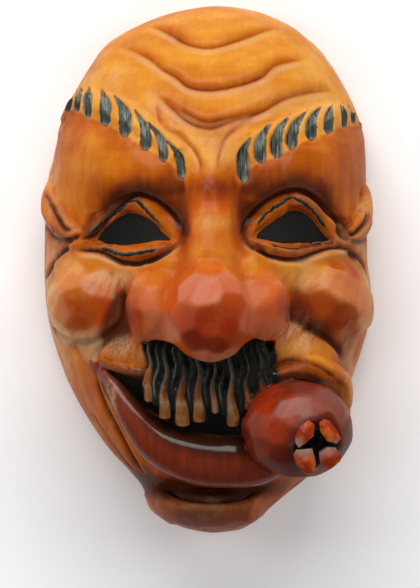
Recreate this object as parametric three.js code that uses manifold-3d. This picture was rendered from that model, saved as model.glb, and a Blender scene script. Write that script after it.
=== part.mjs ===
// A carved limewood carnival mask, lying on its flat rim with the face up.
// Units are millimetres. X runs to the right as the face is looked at, Y from the chin to the
// crown, and Z out of the face. The origin is under the middle of the mask, on the plane of the rim.
import * as THREE from "three";
import { LoftGeometry } from "three/addons/geometries/LoftGeometry.js";
import { mergeVertices } from "three/addons/utils/BufferGeometryUtils.js";
import Module from "manifold-3d";

const wasm = await Module();
wasm.setup();

// Driving dimensions
const FACE_HEIGHT = 98; // rim plane to the middle of the face, without its relief
const WALL = 11; // thickness of the wood at the rim
const HOLLOW_HEIGHT = 79; // rim plane to the deepest part of the hollow, without the nose recess
const THROUGH = 200; // longer than the mask is deep, for cuts that go right through
const CENTRE = new THREE.Vector2(0, -5); // the point that the rings of the face shell close on

// How full the shell is towards the sides, the crown and the chin: 2 is an ellipse, more is boxier.
const SIDE_FULLNESS = 2.4;
const CROWN_FULLNESS = 2.3;
const CHIN_FULLNESS = 4.2;

// Mesh fineness
const SECTORS = 54;
const RINGS = 16;
const HOLLOW_SECTORS = 32;
const HOLLOW_RINGS = 8;

// Outline of the rim seen from the front, anticlockwise from the right cheek
const OUTLINE = [
  [93, 8], [92.5, 47], [89, 85], [68.5, 124], [44, 145], [8.4, 154.4], [-29, 148], [-58.5, 132],
  [-81, 98], [-91.5, 62], [-96, 17], [-93.5, -29], [-81, -67], [-60, -101], [-44.5, -118], [-38, -126],
  [-32.5, -139], [-16, -148], [5, -151.8], [23, -148], [34.5, -138.5], [67, -109.5], [81, -71], [94.8, -26],
].map(([x, y]) => new THREE.Vector3(x, y, 0));

// Manifold solids from three.js geometry, and back
function solidOf(geometry) {
  const bare = new THREE.BufferGeometry();
  bare.setAttribute("position", geometry.getAttribute("position"));
  bare.setIndex(geometry.index);
  const merged = mergeVertices(bare, 1e-4);
  return new wasm.Manifold(new wasm.Mesh({
    numProp: 3,
    vertProperties: merged.getAttribute("position").array,
    triVerts: new Uint32Array(merged.index.array),
  }));
}

// A closed skin over rings of points, each ring given anticlockwise about the line of travel
const skinOver = (rings) => solidOf(new LoftGeometry(rings, { capStart: true, capEnd: true }));

function geometryOf(solid) {
  const mesh = solid.getMesh();
  const geometry = new THREE.BufferGeometry();
  geometry.setAttribute("position", new THREE.BufferAttribute(mesh.vertProperties, 3));
  geometry.setIndex(new THREE.BufferAttribute(mesh.triVerts, 1));
  const flat = geometry.toNonIndexed();
  flat.computeVertexNormals();
  return flat;
}

const joined = (solids) => solids.reduce((whole, next) => whole.add(next));
const cutBy = (solid, cutters) => cutters.reduce((whole, next) => whole.subtract(next), solid);

// Outline as a distance from CENTRE in each direction
const RADIUS_STEPS = 720;
const outlineRadii = (() => {
  const points = new THREE.CatmullRomCurve3(OUTLINE, true, "centripetal").getPoints(1440);
  const table = new Float64Array(RADIUS_STEPS);
  for (const point of points) {
    const dx = point.x - CENTRE.x;
    const dy = point.y - CENTRE.y;
    const slot = Math.round((Math.atan2(dy, dx) / (2 * Math.PI) + 1) * RADIUS_STEPS) % RADIUS_STEPS;
    table[slot] = Math.max(table[slot], Math.hypot(dx, dy));
  }
  for (let i = 0; i < RADIUS_STEPS; i++) {
    if (table[i] === 0) table[i] = table[(i + RADIUS_STEPS - 1) % RADIUS_STEPS];
  }
  return table;
})();

function outlineRadius(angle) {
  const place = (angle / (2 * Math.PI) + 2) * RADIUS_STEPS;
  const low = Math.floor(place);
  const share = place - low;
  const a = outlineRadii[low % RADIUS_STEPS];
  const b = outlineRadii[(low + 1) % RADIUS_STEPS];
  return a + (b - a) * share;
}

function fullness(angle) {
  const up = Math.max(0, Math.sin(angle));
  const down = Math.max(0, -Math.sin(angle));
  const towardsCrown = up * up * (CROWN_FULLNESS - SIDE_FULLNESS);
  const towardsChin = down ** 3 * (CHIN_FULLNESS - SIDE_FULLNESS);
  return SIDE_FULLNESS + towardsCrown + towardsChin;
}

// Height of the plain shell over a point of the rim plane
function shellHeight(x, y, top = FACE_HEIGHT, inset = 0) {
  const angle = Math.atan2(y - CENTRE.y, x - CENTRE.x);
  const reach = outlineRadius(angle) - inset;
  const share = Math.min(1, Math.hypot(x - CENTRE.x, y - CENTRE.y) / reach);
  const power = fullness(angle);
  return top * (1 - share ** power) ** (1 / power);
}

// Relief: each swelling adds to the height of the shell
function swelling(x, y, { at, size, rise, turn = 0, power = 2 }) {
  const dx = x - at[0];
  const dy = y - at[1];
  const u = (dx * Math.cos(turn) + dy * Math.sin(turn)) / size[0];
  const v = (dy * Math.cos(turn) - dx * Math.sin(turn)) / size[1];
  return rise * Math.exp(-(Math.hypot(u, v) ** power));
}

const SWELLINGS = [
  { at: [-43, 21], size: [27, 17], rise: -13, power: 3 }, // eye sockets
  { at: [46, 22], size: [27, 17], rise: -13, power: 3 },
  { at: [-50, 60], size: [30, 16], rise: 7, turn: -0.35 }, // flesh over the eyes
  { at: [53, 59], size: [30, 16], rise: 7, turn: 0.3 },
  { at: [0, 68], size: [18, 24], rise: 4 }, // between the brows
  { at: [0, -50], size: [40, 22], rise: 5, power: 3 }, // upper jaw
  { at: [-2, -137], size: [33, 13], rise: 13, power: 5 }, // chin
  { at: [0, -123.5], size: [34, 4.5], rise: -9 }, // groove under the lip
  { at: [-61, -66], size: [8, 24], rise: 6, turn: 0.25 }, // flesh beside the mouth
  { at: [62, -52], size: [22, 12], rise: 8, turn: -0.5 },
];

// Masses: ellipsoids that stand out of the face and melt into it
function massHeight(x, y, { at, radii, turn = 0 }) {
  const dx = x - at[0];
  const dy = y - at[1];
  const u = (dx * Math.cos(turn) + dy * Math.sin(turn)) / radii[0];
  const v = (dy * Math.cos(turn) - dx * Math.sin(turn)) / radii[1];
  const inside = 1 - u * u - v * v;
  return at[2] + radii[2] * (inside > 0 ? Math.sqrt(inside) : 3 * inside);
}

function melted(a, b, over) {
  const closeness = Math.max(0, over - Math.abs(a - b)) / over;
  return Math.max(a, b) + (closeness * closeness * over) / 4;
}

const MASSES = [
  { at: [1, 10, 78], radii: [21, 62, 29] }, // bridge of the nose
  { at: [-58, -22, 40], radii: [34, 34, 46] }, // flesh round the cheeks
  { at: [60, -20, 40], radii: [32, 36, 46] },
];
const MELTS_OVER = 5;
const RELIEF_FADES_OVER = 26; // the relief dies out over this height above the rim

function faceHeight(x, y) {
  const shell = shellHeight(x, y);
  const kept = Math.min(1, shell / RELIEF_FADES_OVER);
  const relief = SWELLINGS.reduce((sum, each) => sum + swelling(x, y, each), 0);
  const plain = shell + relief * kept;
  const full = MASSES.reduce((height, each) => melted(height, massHeight(x, y, each), MELTS_OVER), plain);
  return plain + (full - plain) * kept;
}

const curveThrough = (points, steps) => new THREE.SplineCurve(
  points.map(([x, y]) => new THREE.Vector2(x, y)),
).getPoints(steps).map((point) => [point.x, point.y]);

// A closed shell of rings from the middle of the face to the rim, flat below
function ringedShell(height, inset, sectors, rings, below = 0) {
  const sections = [];
  for (let i = 1; i <= rings; i++) {
    const sweep = (i / rings) * (Math.PI / 2);
    const ring = [];
    for (let j = 0; j < sectors; j++) {
      const angle = (-j / sectors) * 2 * Math.PI; // the rings travel towards the rim
      const share = Math.sin(sweep) ** (2 / fullness(angle));
      const reach = (outlineRadius(angle) - inset) * share;
      const x = CENTRE.x + reach * Math.cos(angle);
      const y = CENTRE.y + reach * Math.sin(angle);
      ring.push(new THREE.Vector3(x, y, i === rings ? 0 : height(x, y)));
    }
    sections.push(ring);
  }
  if (below > 0) sections.push(sections.at(-1).map((p) => new THREE.Vector3(p.x, p.y, -below)));
  return skinOver(sections);
}

// Rounded masses and tapered rolls
function ellipsoid({ at, radii, turn = 0 }, { columns = 16, rows = 10 } = {}) {
  const geometry = new THREE.SphereGeometry(1, columns, rows);
  geometry.scale(...radii);
  geometry.rotateZ(turn);
  geometry.translate(...at);
  return solidOf(geometry);
}

// stations: [x, y, z, half width across, half height towards Z]
function roll(stations, { steps = 9, sides = 8 } = {}) {
  const middle = new THREE.CatmullRomCurve3(stations.map(([x, y, z]) => new THREE.Vector3(x, y, z)));
  const girth = new THREE.CatmullRomCurve3(
    stations.map(([, , , across, height]) => new THREE.Vector3(across, height ?? across, 0)),
  );
  const sections = [];
  for (let i = 0; i <= steps; i++) {
    const along = i / steps;
    const place = middle.getPoint(along);
    const size = girth.getPoint(along);
    const travel = middle.getTangent(along);
    const across = new THREE.Vector3(-travel.y, travel.x, 0).normalize();
    const up = new THREE.Vector3().crossVectors(travel, across).normalize();
    const ring = [];
    for (let j = 0; j < sides; j++) {
      const turn = (j / sides) * 2 * Math.PI;
      ring.push(place.clone()
        .addScaledVector(across, Math.cos(turn) * size.x)
        .addScaledVector(up, Math.sin(turn) * size.y));
    }
    sections.push(ring);
  }
  return skinOver(sections);
}

// A cut of the given front outline, right through the wood
function through(points) {
  const shape = new THREE.Shape(points.map(([x, y]) => new THREE.Vector2(x, y)));
  const geometry = new THREE.ExtrudeGeometry(shape, { depth: THROUGH, bevelEnabled: false });
  geometry.translate(0, 0, -10);
  return solidOf(geometry);
}

// Nose
const NOSE = {
  bridge: [[1, 40, 90, 9, 12], [1, 14, 99, 13, 14], [1, -14, 106, 19, 19]],
  bulb: { at: [1, -24.5, 113], radii: [24, 27, 25] },
  wings: [
    { at: [-29.5, -22.5, 102], radii: [16.5, 20.5, 19.5] },
    { at: [30, -22, 102], radii: [15.5, 20, 19] },
  ],
  nostrils: [{ at: [-26, -42, 100], radii: [9, 6, 10] }, { at: [27, -41, 100], radii: [9, 6, 10] }],
};

function nose() {
  const bridge = roll(NOSE.bridge, { steps: 5, sides: 12 });
  const bulb = ellipsoid(NOSE.bulb, { columns: 18, rows: 12 });
  return joined([bridge, bulb, ...NOSE.wings.map((wing) => ellipsoid(wing))]);
}

const nostrils = () => NOSE.nostrils.map((each) => ellipsoid(each, { columns: 10, rows: 8 }));

// Forehead wrinkles: festoons of skin, each hanging over the crease under it
const WRINKLES = [
  [[-27, 140], [-14, 132], [0, 128], [14, 131.5], [30, 140]],
  [[-43, 128], [-26, 115.5], [-10, 105], [3, 103], [20, 106.5], [36, 117], [50, 122]],
  [[-27, 99], [-18, 91], [-8, 84], [2, 81.5], [12, 84.5], [30, 91], [46, 99], [66, 105]],
];
const WRINKLE_ACROSS = 6;
const WRINKLE_HEIGHT = 4.4;

function wrinkle(line) {
  const last = line.length - 1;
  return roll(line.map(([x, y], i) => {
    const swell = Math.sin(Math.PI * (0.1 + (0.8 * i) / last));
    return [x, y, faceHeight(x, y), 1 + (WRINKLE_ACROSS - 1) * swell, 1 + (WRINKLE_HEIGHT - 1) * swell];
  }), { steps: 8, sides: 5 });
}

// Cheeks
const CHEEKS = [
  { at: [-67, -18, 61], radii: [24, 22.5, 27] },
  { at: [67.5, -15, 58], radii: [29, 20.5, 28], turn: -0.6 },
];

// Rolls of flesh that curl round the outer corners of the eyes
const CURLS = [
  [[-87, 56, 18, 4, 5], [-90, 41, 36, 6, 8], [-85, 27, 54, 6.5, 8], [-74, 19, 66, 5, 6], [-64, 16, 70, 2, 2]],
  [[85, 56, 18, 4, 5], [88, 40, 36, 6, 8], [86, 26, 52, 6.5, 8], [78, 17, 63, 5, 6], [69, 15, 68, 2, 2]],
];
const curl = (stations) => roll(stations, { steps: 6, sides: 7 });

// Eyes: a lens with a peaked top for each opening, and a lid along each edge
const EYES = [
  { outer: [-62, 14.8], peak: [-43.5, 31.5], inner: [-20.5, 15.2], foot: [-41.5, 12], tail: [-77, 8] },
  { outer: [67.8, 14.8], peak: [48, 32.5], inner: [26.5, 17], foot: [47, 13.2], tail: [79, 9] },
];
const LID_REACH = 4.2; // from the edge of the opening to the middle of the lid

// A point part of the way from a to b, raised so that the line through it arches
const between = (a, b, share, raised = 0) => [
  a[0] + (b[0] - a[0]) * share,
  a[1] + (b[1] - a[1]) * share + raised,
];

function eyeOpening({ outer, peak, inner, foot }) {
  const outerArch = between(outer, peak, 0.5, 2.5);
  const innerArch = between(peak, inner, 0.5, 1.5);
  const upper = curveThrough([outer, outerArch, peak, innerArch, inner], 12);
  const lower = curveThrough([inner, foot, outer], 8);
  return [...upper, ...lower.slice(1, -1)];
}

function lids({ outer, peak, inner, foot, tail }) {
  const onFace = ([x, y], lift, across) => [x, y, faceHeight(x, y) + lift, across, across];
  const towardsNose = Math.sign(inner[0] - outer[0]);
  const upper = roll([
    onFace([outer[0] - towardsNose * 5, outer[1] - 2], -1, 1.5),
    onFace([(outer[0] + peak[0]) / 2, (outer[1] + peak[1]) / 2 + LID_REACH], 1, 3),
    onFace([peak[0], peak[1] + LID_REACH], 1.5, 3.4),
    onFace([(peak[0] + inner[0]) / 2, (peak[1] + inner[1]) / 2 + LID_REACH], 1, 3),
    onFace([inner[0] + towardsNose * 3, inner[1] - 1], -1, 1.5),
  ], { steps: 7, sides: 5 });
  const lower = roll([
    onFace(tail, 0, 1.2),
    onFace([outer[0], outer[1] - LID_REACH], 0, 2.6),
    onFace([foot[0], foot[1] - LID_REACH], 1.5, 3.8),
    onFace([(foot[0] + inner[0]) / 2, foot[1] - LID_REACH + 1], 1, 3.2),
    onFace([inner[0] + towardsNose * 3, inner[1] - 1], -1, 1.5),
  ], { steps: 7, sides: 5 });
  return joined([upper, lower]);
}

// Mouth: a crescent opening, with a heavy lower lip and a roll of upper lip on each side
const MOUTH = {
  upper: [[-58.5, -54.5], [-46, -58.5], [-30, -61], [0, -62], [30, -62], [46, -70]],
  lower: [[48, -86], [36, -92], [18, -93.5], [-8, -90.8], [-28, -83], [-47, -69.5]],
};

const mouthOpening = () => [...curveThrough(MOUTH.upper, 12), ...curveThrough(MOUTH.lower, 12)];

function lips() {
  const lower = roll([
    [-59, -57, 82, 2, 3], [-51, -68, 88, 5, 6], [-42, -82, 92, 8, 9], [-28, -97, 94, 11.5, 11],
    [-8, -105.5, 96, 14, 12], [10, -107.5, 96, 14, 12], [28, -107, 93, 13, 11], [46, -99, 88, 9, 9],
  ], { steps: 12, sides: 10 });
  const upperLeft = roll([
    [-60, -53, 84, 1.5, 2], [-47, -56, 91, 3, 4], [-30, -58, 95, 3.6, 5],
  ], { steps: 4, sides: 6 });
  const upperRight = roll([
    [26, -62, 96, 4, 5], [43, -59, 94, 7, 8], [60, -57, 88, 8, 9], [73, -64, 78, 7, 8], [76, -77, 67, 5, 6],
  ], { steps: 8, sides: 8 });
  return joined([lower, upperLeft, upperRight]);
}

// Moustache: hanging tufts, narrow at the root and blunt at the tip, side by side over the mouth
// Each tuft: x and y of its tip, and its half width there
const TUFTS = [
  [-33.5, -72, 3.4], [-24.3, -82.5, 3.8], [-14.6, -86.5, 4.2], [-5.2, -84.5, 4], [3.4, -79.5, 3.2],
  [13.6, -86.8, 4.2], [22.6, -77.5, 3.4], [30.6, -69.5, 3.4],
];
const TUFT = { rootY: -38, rootShare: 0.8, rootAcross: 2.6, height: 4.8, wave: 1.4 };

function moustache() {
  const root = ellipsoid({ at: [0, -48, 90], radii: [34, 13, 13] }, { columns: 12, rows: 8 });
  const backing = ellipsoid({ at: [-1, -55, 94.5], radii: [31, 21, 6.5] }, { columns: 12, rows: 6 });
  const tufts = TUFTS.map(([x, y, across]) => {
    const rootX = x * TUFT.rootShare;
    const station = (share, bend, z, across) => [
      rootX + (x - rootX) * share + bend * TUFT.wave,
      TUFT.rootY + (y - TUFT.rootY) * share,
      z, across, TUFT.height,
    ];
    return roll([
      station(0, 0, 98, TUFT.rootAcross), station(0.35, -1, 103, TUFT.rootAcross),
      station(0.7, 1, 104, across), station(1, 0, 100, across * 0.8),
    ], { steps: 4, sides: 6 });
  });
  return joined([root, backing, ...tufts]);
}

// Brows: a raised band, notched along its lower edge by leaf-shaped cuts that leave thin ridges
const BROWS = [
  { line: [[-84, 86], [-72, 94], [-57, 90], [-38, 79], [-17, 62]], outerLean: 0, innerLean: 0.42 },
  { line: [[88, 82], [75, 87], [58, 82], [39, 74.5], [20, 62]], outerLean: 0.25, innerLean: -0.42 },
];
const BROW = { across: 10.5, height: 5, outerShare: 0.5, sunk: 1 };
const NOTCH = { count: 9, length: 22, outerShare: 0.6, across: 3, depth: 3.4, lift: 2.9 };

function browBand({ line }) {
  return roll(line.map(([x, y], i) => {
    const size = i === 0 ? BROW.outerShare : 1;
    return [x, y, faceHeight(x, y) - BROW.sunk, BROW.across * size, BROW.height * size];
  }), { steps: 8, sides: 6 });
}

function browNotches({ line, outerLean, innerLean }) {
  return curveThrough(line, NOTCH.count - 1).map(([x, y], i) => {
    const inwards = i / (NOTCH.count - 1);
    const length = NOTCH.length * Math.min(1, NOTCH.outerShare + 1.4 * inwards);
    const lean = outerLean + (innerLean - outerLean) * inwards;
    return roll([0, 0.3, 0.65, 1].map((share) => {
      const px = x + lean * length * (share - 0.5);
      const py = y - length * (share - 0.5);
      const swell = Math.sin(Math.PI * (0.1 + 0.8 * share));
      return [px, py, faceHeight(px, py) + NOTCH.lift, NOTCH.across * swell, NOTCH.depth * swell];
    }), { steps: 3, sides: 4 });
  });
}

// The round fruit held in the corner of the mouth, with four calyx lobes at its free end
const FRUIT = { at: [49, -88.5, 108], radii: [29.6, 26.4, 27], axis: [0.34, -0.3, 0.89] };
const CALYX = { lobes: 4, foot: 16, tip: 31, footSpread: 7, tipSpread: 9.5, footSize: 6.4, tipSize: 6.2 };

function fruit() {
  const axis = new THREE.Vector3(...FRUIT.axis).normalize();
  const facing = new THREE.Quaternion().setFromUnitVectors(new THREE.Vector3(0, 0, 1), axis);
  const centre = new THREE.Vector3(...FRUIT.at);
  const lobes = Array.from({ length: CALYX.lobes }, (_, i) => {
    const turn = ((i + 0.5) / CALYX.lobes) * 2 * Math.PI;
    const station = (spread, height, size) => {
      const local = new THREE.Vector3(Math.cos(turn) * spread, Math.sin(turn) * spread, height);
      return [...local.applyQuaternion(facing).add(centre).toArray(), size, size];
    };
    return roll([
      station(CALYX.footSpread, CALYX.foot, CALYX.footSize),
      station(CALYX.tipSpread, CALYX.tip, CALYX.tipSize),
    ], { steps: 2, sides: 6 });
  });
  return joined([ellipsoid(FRUIT, { columns: 18, rows: 12 }), ...lobes]);
}

// The hollow at the back, with a recess for the wearer's nose
function hollow() {
  const inner = (x, y) => shellHeight(x, y, HOLLOW_HEIGHT, WALL);
  const bowl = ringedShell(inner, WALL, HOLLOW_SECTORS, HOLLOW_RINGS, 10);
  const noseRecess = ellipsoid({ at: [0, -14, 72], radii: [17, 30, 34] });
  return bowl.add(noseRecess);
}

function maskSolid() {
  const face = joined([
    ringedShell(faceHeight, 0, SECTORS, RINGS), nose(), ...CHEEKS.map((cheek) => ellipsoid(cheek)),
    ...CURLS.map(curl), ...WRINKLES.map(wrinkle), ...BROWS.map(browBand), ...EYES.map(lids),
  ]);
  const opened = cutBy(face, [...BROWS.flatMap(browNotches), through(mouthOpening())]);
  const dressed = joined([opened, lips()]);
  const shell = cutBy(dressed, [hollow(), ...EYES.map((eye) => through(eyeOpening(eye)))]);
  return cutBy(joined([shell, moustache(), fruit()]), nostrils());
}

const paintedWood = new THREE.MeshStandardMaterial({ color: 0xc8781e, roughness: 0.3, metalness: 0 });

const mask = new THREE.Mesh(geometryOf(maskSolid()), paintedWood);
mask.name = "mask";

const part = new THREE.Group();
part.add(mask);

export default part;
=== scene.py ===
# A carved and lacquered carnival mask, lying on its rim with the face up.
# Units are metres. X runs to the right as the face is looked at, Y from the chin to the crown,
# and Z out of the face.
import math

import bmesh
import bpy
import numpy as np
from mathutils import Matrix, Vector, kdtree
from mathutils.bvhtree import BVHTree


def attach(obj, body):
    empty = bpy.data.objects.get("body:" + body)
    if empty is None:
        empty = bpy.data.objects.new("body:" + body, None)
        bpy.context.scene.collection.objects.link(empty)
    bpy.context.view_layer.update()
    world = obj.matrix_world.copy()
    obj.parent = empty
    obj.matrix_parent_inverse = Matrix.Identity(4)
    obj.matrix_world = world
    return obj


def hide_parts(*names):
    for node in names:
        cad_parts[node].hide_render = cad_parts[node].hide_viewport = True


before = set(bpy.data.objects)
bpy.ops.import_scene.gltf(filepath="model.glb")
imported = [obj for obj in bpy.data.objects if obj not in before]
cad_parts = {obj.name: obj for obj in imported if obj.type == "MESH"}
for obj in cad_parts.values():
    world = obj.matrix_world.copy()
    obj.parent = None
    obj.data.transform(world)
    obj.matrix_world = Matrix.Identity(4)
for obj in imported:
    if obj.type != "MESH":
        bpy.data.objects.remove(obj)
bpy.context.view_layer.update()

# Driving sizes, shared with the solid
FACE_HEIGHT = 0.098
WALL = 0.011
HOLLOW_HEIGHT = 0.079
CENTRE = np.array([0.0, -0.005])
SIDE_FULLNESS = 2.4
CROWN_FULLNESS = 2.3
CHIN_FULLNESS = 4.2
THROUGH = 0.2  # above all of the mask
UNDER = -0.01  # below all of it
FROM_FRONT = np.array([1.0, 1.0, 0.0])  # lays a place flat, as it is seen from the front

# Fineness of the mesh
BLOCK_SEGMENTS = 256
BLOCK_RINGS = 200
HOLLOW_FINENESS = (128, 100)
ROUGH_VOXEL = 0.0013
FINE_VOXEL = 0.0009
MOST_TRIANGLES = 192000
SOFTENING_ROUNDS = 9  # how far the broad masses melt together
SKIRT = 0.006  # the block runs this far under the rim plane until it is sawn flat

# Outline of the rim seen from the front, anticlockwise from the right cheek
OUTLINE = [
    (0.093, 0.008), (0.0925, 0.047), (0.089, 0.085), (0.0685, 0.124), (0.044, 0.145), (0.0084, 0.1544),
    (-0.029, 0.148), (-0.0585, 0.132), (-0.081, 0.098), (-0.0915, 0.062), (-0.096, 0.017),
    (-0.0935, -0.029), (-0.081, -0.067), (-0.060, -0.101), (-0.0445, -0.118), (-0.038, -0.126),
    (-0.0325, -0.139), (-0.016, -0.148), (0.005, -0.1518), (0.023, -0.148), (0.0345, -0.1385),
    (0.067, -0.1095), (0.081, -0.071), (0.0948, -0.026),
]


# Curves
def smooth_curve(points, steps, closed=False):
    """A centripetal curve through the points, with this many steps from each to the next."""
    points = np.asarray(points, float)
    if closed:
        padded = np.vstack([points[-1], points, points[:2]])
        spans = len(points)
    else:
        padded = np.vstack([2 * points[0] - points[1], points, 2 * points[-1] - points[-2]])
        spans = len(points) - 1
    share = np.linspace(0, 1, steps, endpoint=False)[:, None]
    pieces = []
    for i in range(spans):
        p0, p1, p2, p3 = padded[i:i + 4]
        before = np.linalg.norm(p1 - p0) ** 0.5
        here = np.linalg.norm(p2 - p1) ** 0.5
        after = np.linalg.norm(p3 - p2) ** 0.5
        leave = ((p1 - p0) / before - (p2 - p0) / (before + here) + (p2 - p1) / here) * here
        arrive = ((p2 - p1) / here - (p3 - p1) / (here + after) + (p3 - p2) / after) * here
        pieces.append(
            (2 * share ** 3 - 3 * share ** 2 + 1) * p1 + (share ** 3 - 2 * share ** 2 + share) * leave
            + (3 * share ** 2 - 2 * share ** 3) * p2 + (share ** 3 - share ** 2) * arrive
        )
    if not closed:
        pieces.append(points[-1:])
    return np.vstack(pieces)


def outline_table():
    points = smooth_curve(OUTLINE, 60, closed=True) - CENTRE
    angle = np.mod(np.arctan2(points[:, 1], points[:, 0]), 2 * np.pi)
    order = np.argsort(angle)
    return angle[order], np.hypot(points[:, 0], points[:, 1])[order]


RIM_ANGLES, RIM_RADII = outline_table()


def rim_radius(angle):
    return np.interp(np.mod(angle, 2 * np.pi), RIM_ANGLES, RIM_RADII, period=2 * np.pi)


def fullness(angle):
    up = np.maximum(0, np.sin(angle)) ** 2
    down = np.maximum(0, -np.sin(angle)) ** 3
    return SIDE_FULLNESS + up * (CROWN_FULLNESS - SIDE_FULLNESS) + down * (CHIN_FULLNESS - SIDE_FULLNESS)


def shell_height(x, y, top=FACE_HEIGHT, inset=0.0):
    angle = np.arctan2(y - CENTRE[1], x - CENTRE[0])
    share = np.hypot(x - CENTRE[0], y - CENTRE[1]) / (rim_radius(angle) - inset)
    power = fullness(angle)
    return top * (1 - np.minimum(1, share) ** power) ** (1 / power)


# Broad relief: (at, size, rise, turn, power), each adds to the height of the shell
SWELLINGS = [
    ((-0.043, 0.021), (0.027, 0.017), -0.013, 0.0, 3),  # eye sockets
    ((0.046, 0.022), (0.027, 0.017), -0.013, 0.0, 3),
    ((-0.052, 0.060), (0.032, 0.019), 0.008, -0.35, 2.6),  # flesh over the eyes
    ((0.055, 0.059), (0.032, 0.019), 0.008, 0.3, 2.6),
    ((0.000, 0.068), (0.018, 0.024), 0.003, 0.0, 2),  # between the brows
    ((0.000, -0.050), (0.040, 0.022), 0.005, 0.0, 3),  # upper jaw
    ((-0.002, -0.137), (0.033, 0.013), 0.013, 0.0, 5),  # chin
    ((0.000, -0.1235), (0.034, 0.0045), -0.009, 0.0, 2),  # groove under the lip
    ((-0.061, -0.066), (0.008, 0.024), 0.006, 0.25, 2),  # flesh beside the mouth
    ((0.062, -0.052), (0.022, 0.012), 0.008, -0.5, 2),
]

# Masses that melt into the face: (at, radii, turn)
MASSES = [
    ((0.001, 0.010, 0.078), (0.021, 0.062, 0.029), 0.0),  # bridge of the nose
    ((-0.058, -0.022, 0.040), (0.034, 0.034, 0.046), 0.0),  # flesh round the cheeks
    ((0.060, -0.020, 0.040), (0.032, 0.036, 0.046), 0.0),
    ((-0.026, -0.006, 0.079), (0.025, 0.026, 0.022), 0.0),  # flesh beside the nose
    ((0.028, -0.005, 0.079), (0.025, 0.026, 0.022), 0.0),
]
MELTS_OVER = 0.006
RELIEF_FADES_OVER = 0.026
SIDES_PLAIN_BELOW = (0.006, 0.034)  # creases and brushwork run out down the sides between these heights


def turned(x, y, at, size, turn):
    dx = x - at[0]
    dy = y - at[1]
    u = (dx * math.cos(turn) + dy * math.sin(turn)) / size[0]
    v = (dy * math.cos(turn) - dx * math.sin(turn)) / size[1]
    return u, v


def patch(x, y, at, reach, turn=0.0, power=2):
    """A soft patch as seen from the front: 1 at its middle, nearly 0 past its reach."""
    return np.exp(-np.hypot(*turned(x, y, at, reach, turn)) ** power)


def face_height(x, y):
    shell = shell_height(x, y)
    kept = np.minimum(1, shell / RELIEF_FADES_OVER)
    relief = np.zeros_like(shell)
    for at, size, rise, turn, power in SWELLINGS:
        relief += rise * patch(x, y, at, size, turn, power)
    plain = shell + relief * kept
    full = plain
    for at, radii, turn in MASSES:
        u, v = turned(x, y, at, radii, turn)
        inside = 1 - u * u - v * v
        rise = np.where(inside > 0, np.sqrt(np.maximum(0, inside)), 3 * inside)
        mass = at[2] + radii[2] * rise
        closeness = np.maximum(0, MELTS_OVER - np.abs(full - mass)) / MELTS_OVER
        full = np.maximum(full, mass) + closeness ** 2 * MELTS_OVER / 4
    return plain + (full - plain) * kept


def height_at(x, y):
    return float(face_height(np.array([x]), np.array([y]))[0])


# Solid shapes to carve from
def bowl(bm, segments, rings, bottom, inset, height_over):
    """A ball stretched to the outline of the mask: its upper half takes a height, its lower half is flat."""
    bmesh.ops.create_uvsphere(bm, u_segments=segments, v_segments=rings, radius=1)
    mesh = bpy.data.meshes.new("bowl")
    bm.to_mesh(mesh)
    place = positions(mesh)
    angle = np.arctan2(place[:, 1], place[:, 0])
    share = np.hypot(place[:, 0], place[:, 1]) ** (2 / fullness(angle))
    reach = (rim_radius(angle) - inset) * np.minimum(1, share)
    x = CENTRE[0] + reach * np.cos(angle)
    y = CENTRE[1] + reach * np.sin(angle)
    z = np.where(place[:, 2] > -1e-4, height_over(x, y), bottom)
    set_positions(mesh, np.column_stack((x, y, z)))
    bm.clear()
    bm.from_mesh(mesh)
    bpy.data.meshes.remove(mesh)


def ball_mass(bm, at, radii, turn=0.0, fineness=6):
    matrix = Matrix.Translation(at) @ Matrix.Rotation(turn, 4, "Z") @ Matrix.Diagonal((*radii, 1))
    bmesh.ops.create_icosphere(bm, subdivisions=fineness, radius=1, matrix=matrix)


def tapered_roll(bm, stations, steps=6, sides=20):
    """A round bar grown from station to station: (x, y, z, half width across, half height)."""
    path = smooth_curve(stations, steps)
    travel = np.gradient(path[:, :3], axis=0)

    def seat(i):
        along = Vector(travel[i]).normalized()
        across = Vector((-along.y, along.x, 0)).normalized()
        up = along.cross(across)
        columns = (across * path[i][3], up * path[i][4], along, Vector(path[i][:3]))
        return Matrix([[*(column[row] for column in columns)] for row in range(3)] + [[0, 0, 0, 1]])

    bar = bmesh.new()
    ring = bmesh.ops.create_circle(bar, cap_ends=True, segments=sides, radius=1, matrix=seat(0))["verts"]
    cap = next(face for face in ring[0].link_faces if len(face.verts) == sides)
    start = cap
    for i in range(1, len(path)):
        grown = bmesh.ops.extrude_face_region(bar, geom=[cap], use_keep_orig=cap is start)["geom"]
        cap = next(item for item in grown if isinstance(item, bmesh.types.BMFace))
        bmesh.ops.transform(bar, matrix=seat(i) @ seat(i - 1).inverted(), verts=cap.verts)
    start.normal_flip()
    mesh = bpy.data.meshes.new("bar")
    bar.to_mesh(mesh)
    bar.free()
    bm.from_mesh(mesh)
    bpy.data.meshes.remove(mesh)


def post(bm, line):
    """A straight bar of the given front outline, to cut right through the wood."""
    corners = [bm.verts.new((x, y, UNDER)) for x, y in line]
    foot = bm.faces.new(corners)
    grown = bmesh.ops.extrude_face_region(bm, geom=[foot], use_keep_orig=True)["geom"]
    risen = [item for item in grown if isinstance(item, bmesh.types.BMVert)]
    bmesh.ops.translate(bm, vec=(0, 0, THROUGH - UNDER), verts=risen)
    bmesh.ops.recalc_face_normals(bm, faces=bm.faces)


def on_face(x, y, lift, across, height):
    return (x, y, height_at(x, y) + lift, across, height)


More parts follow.
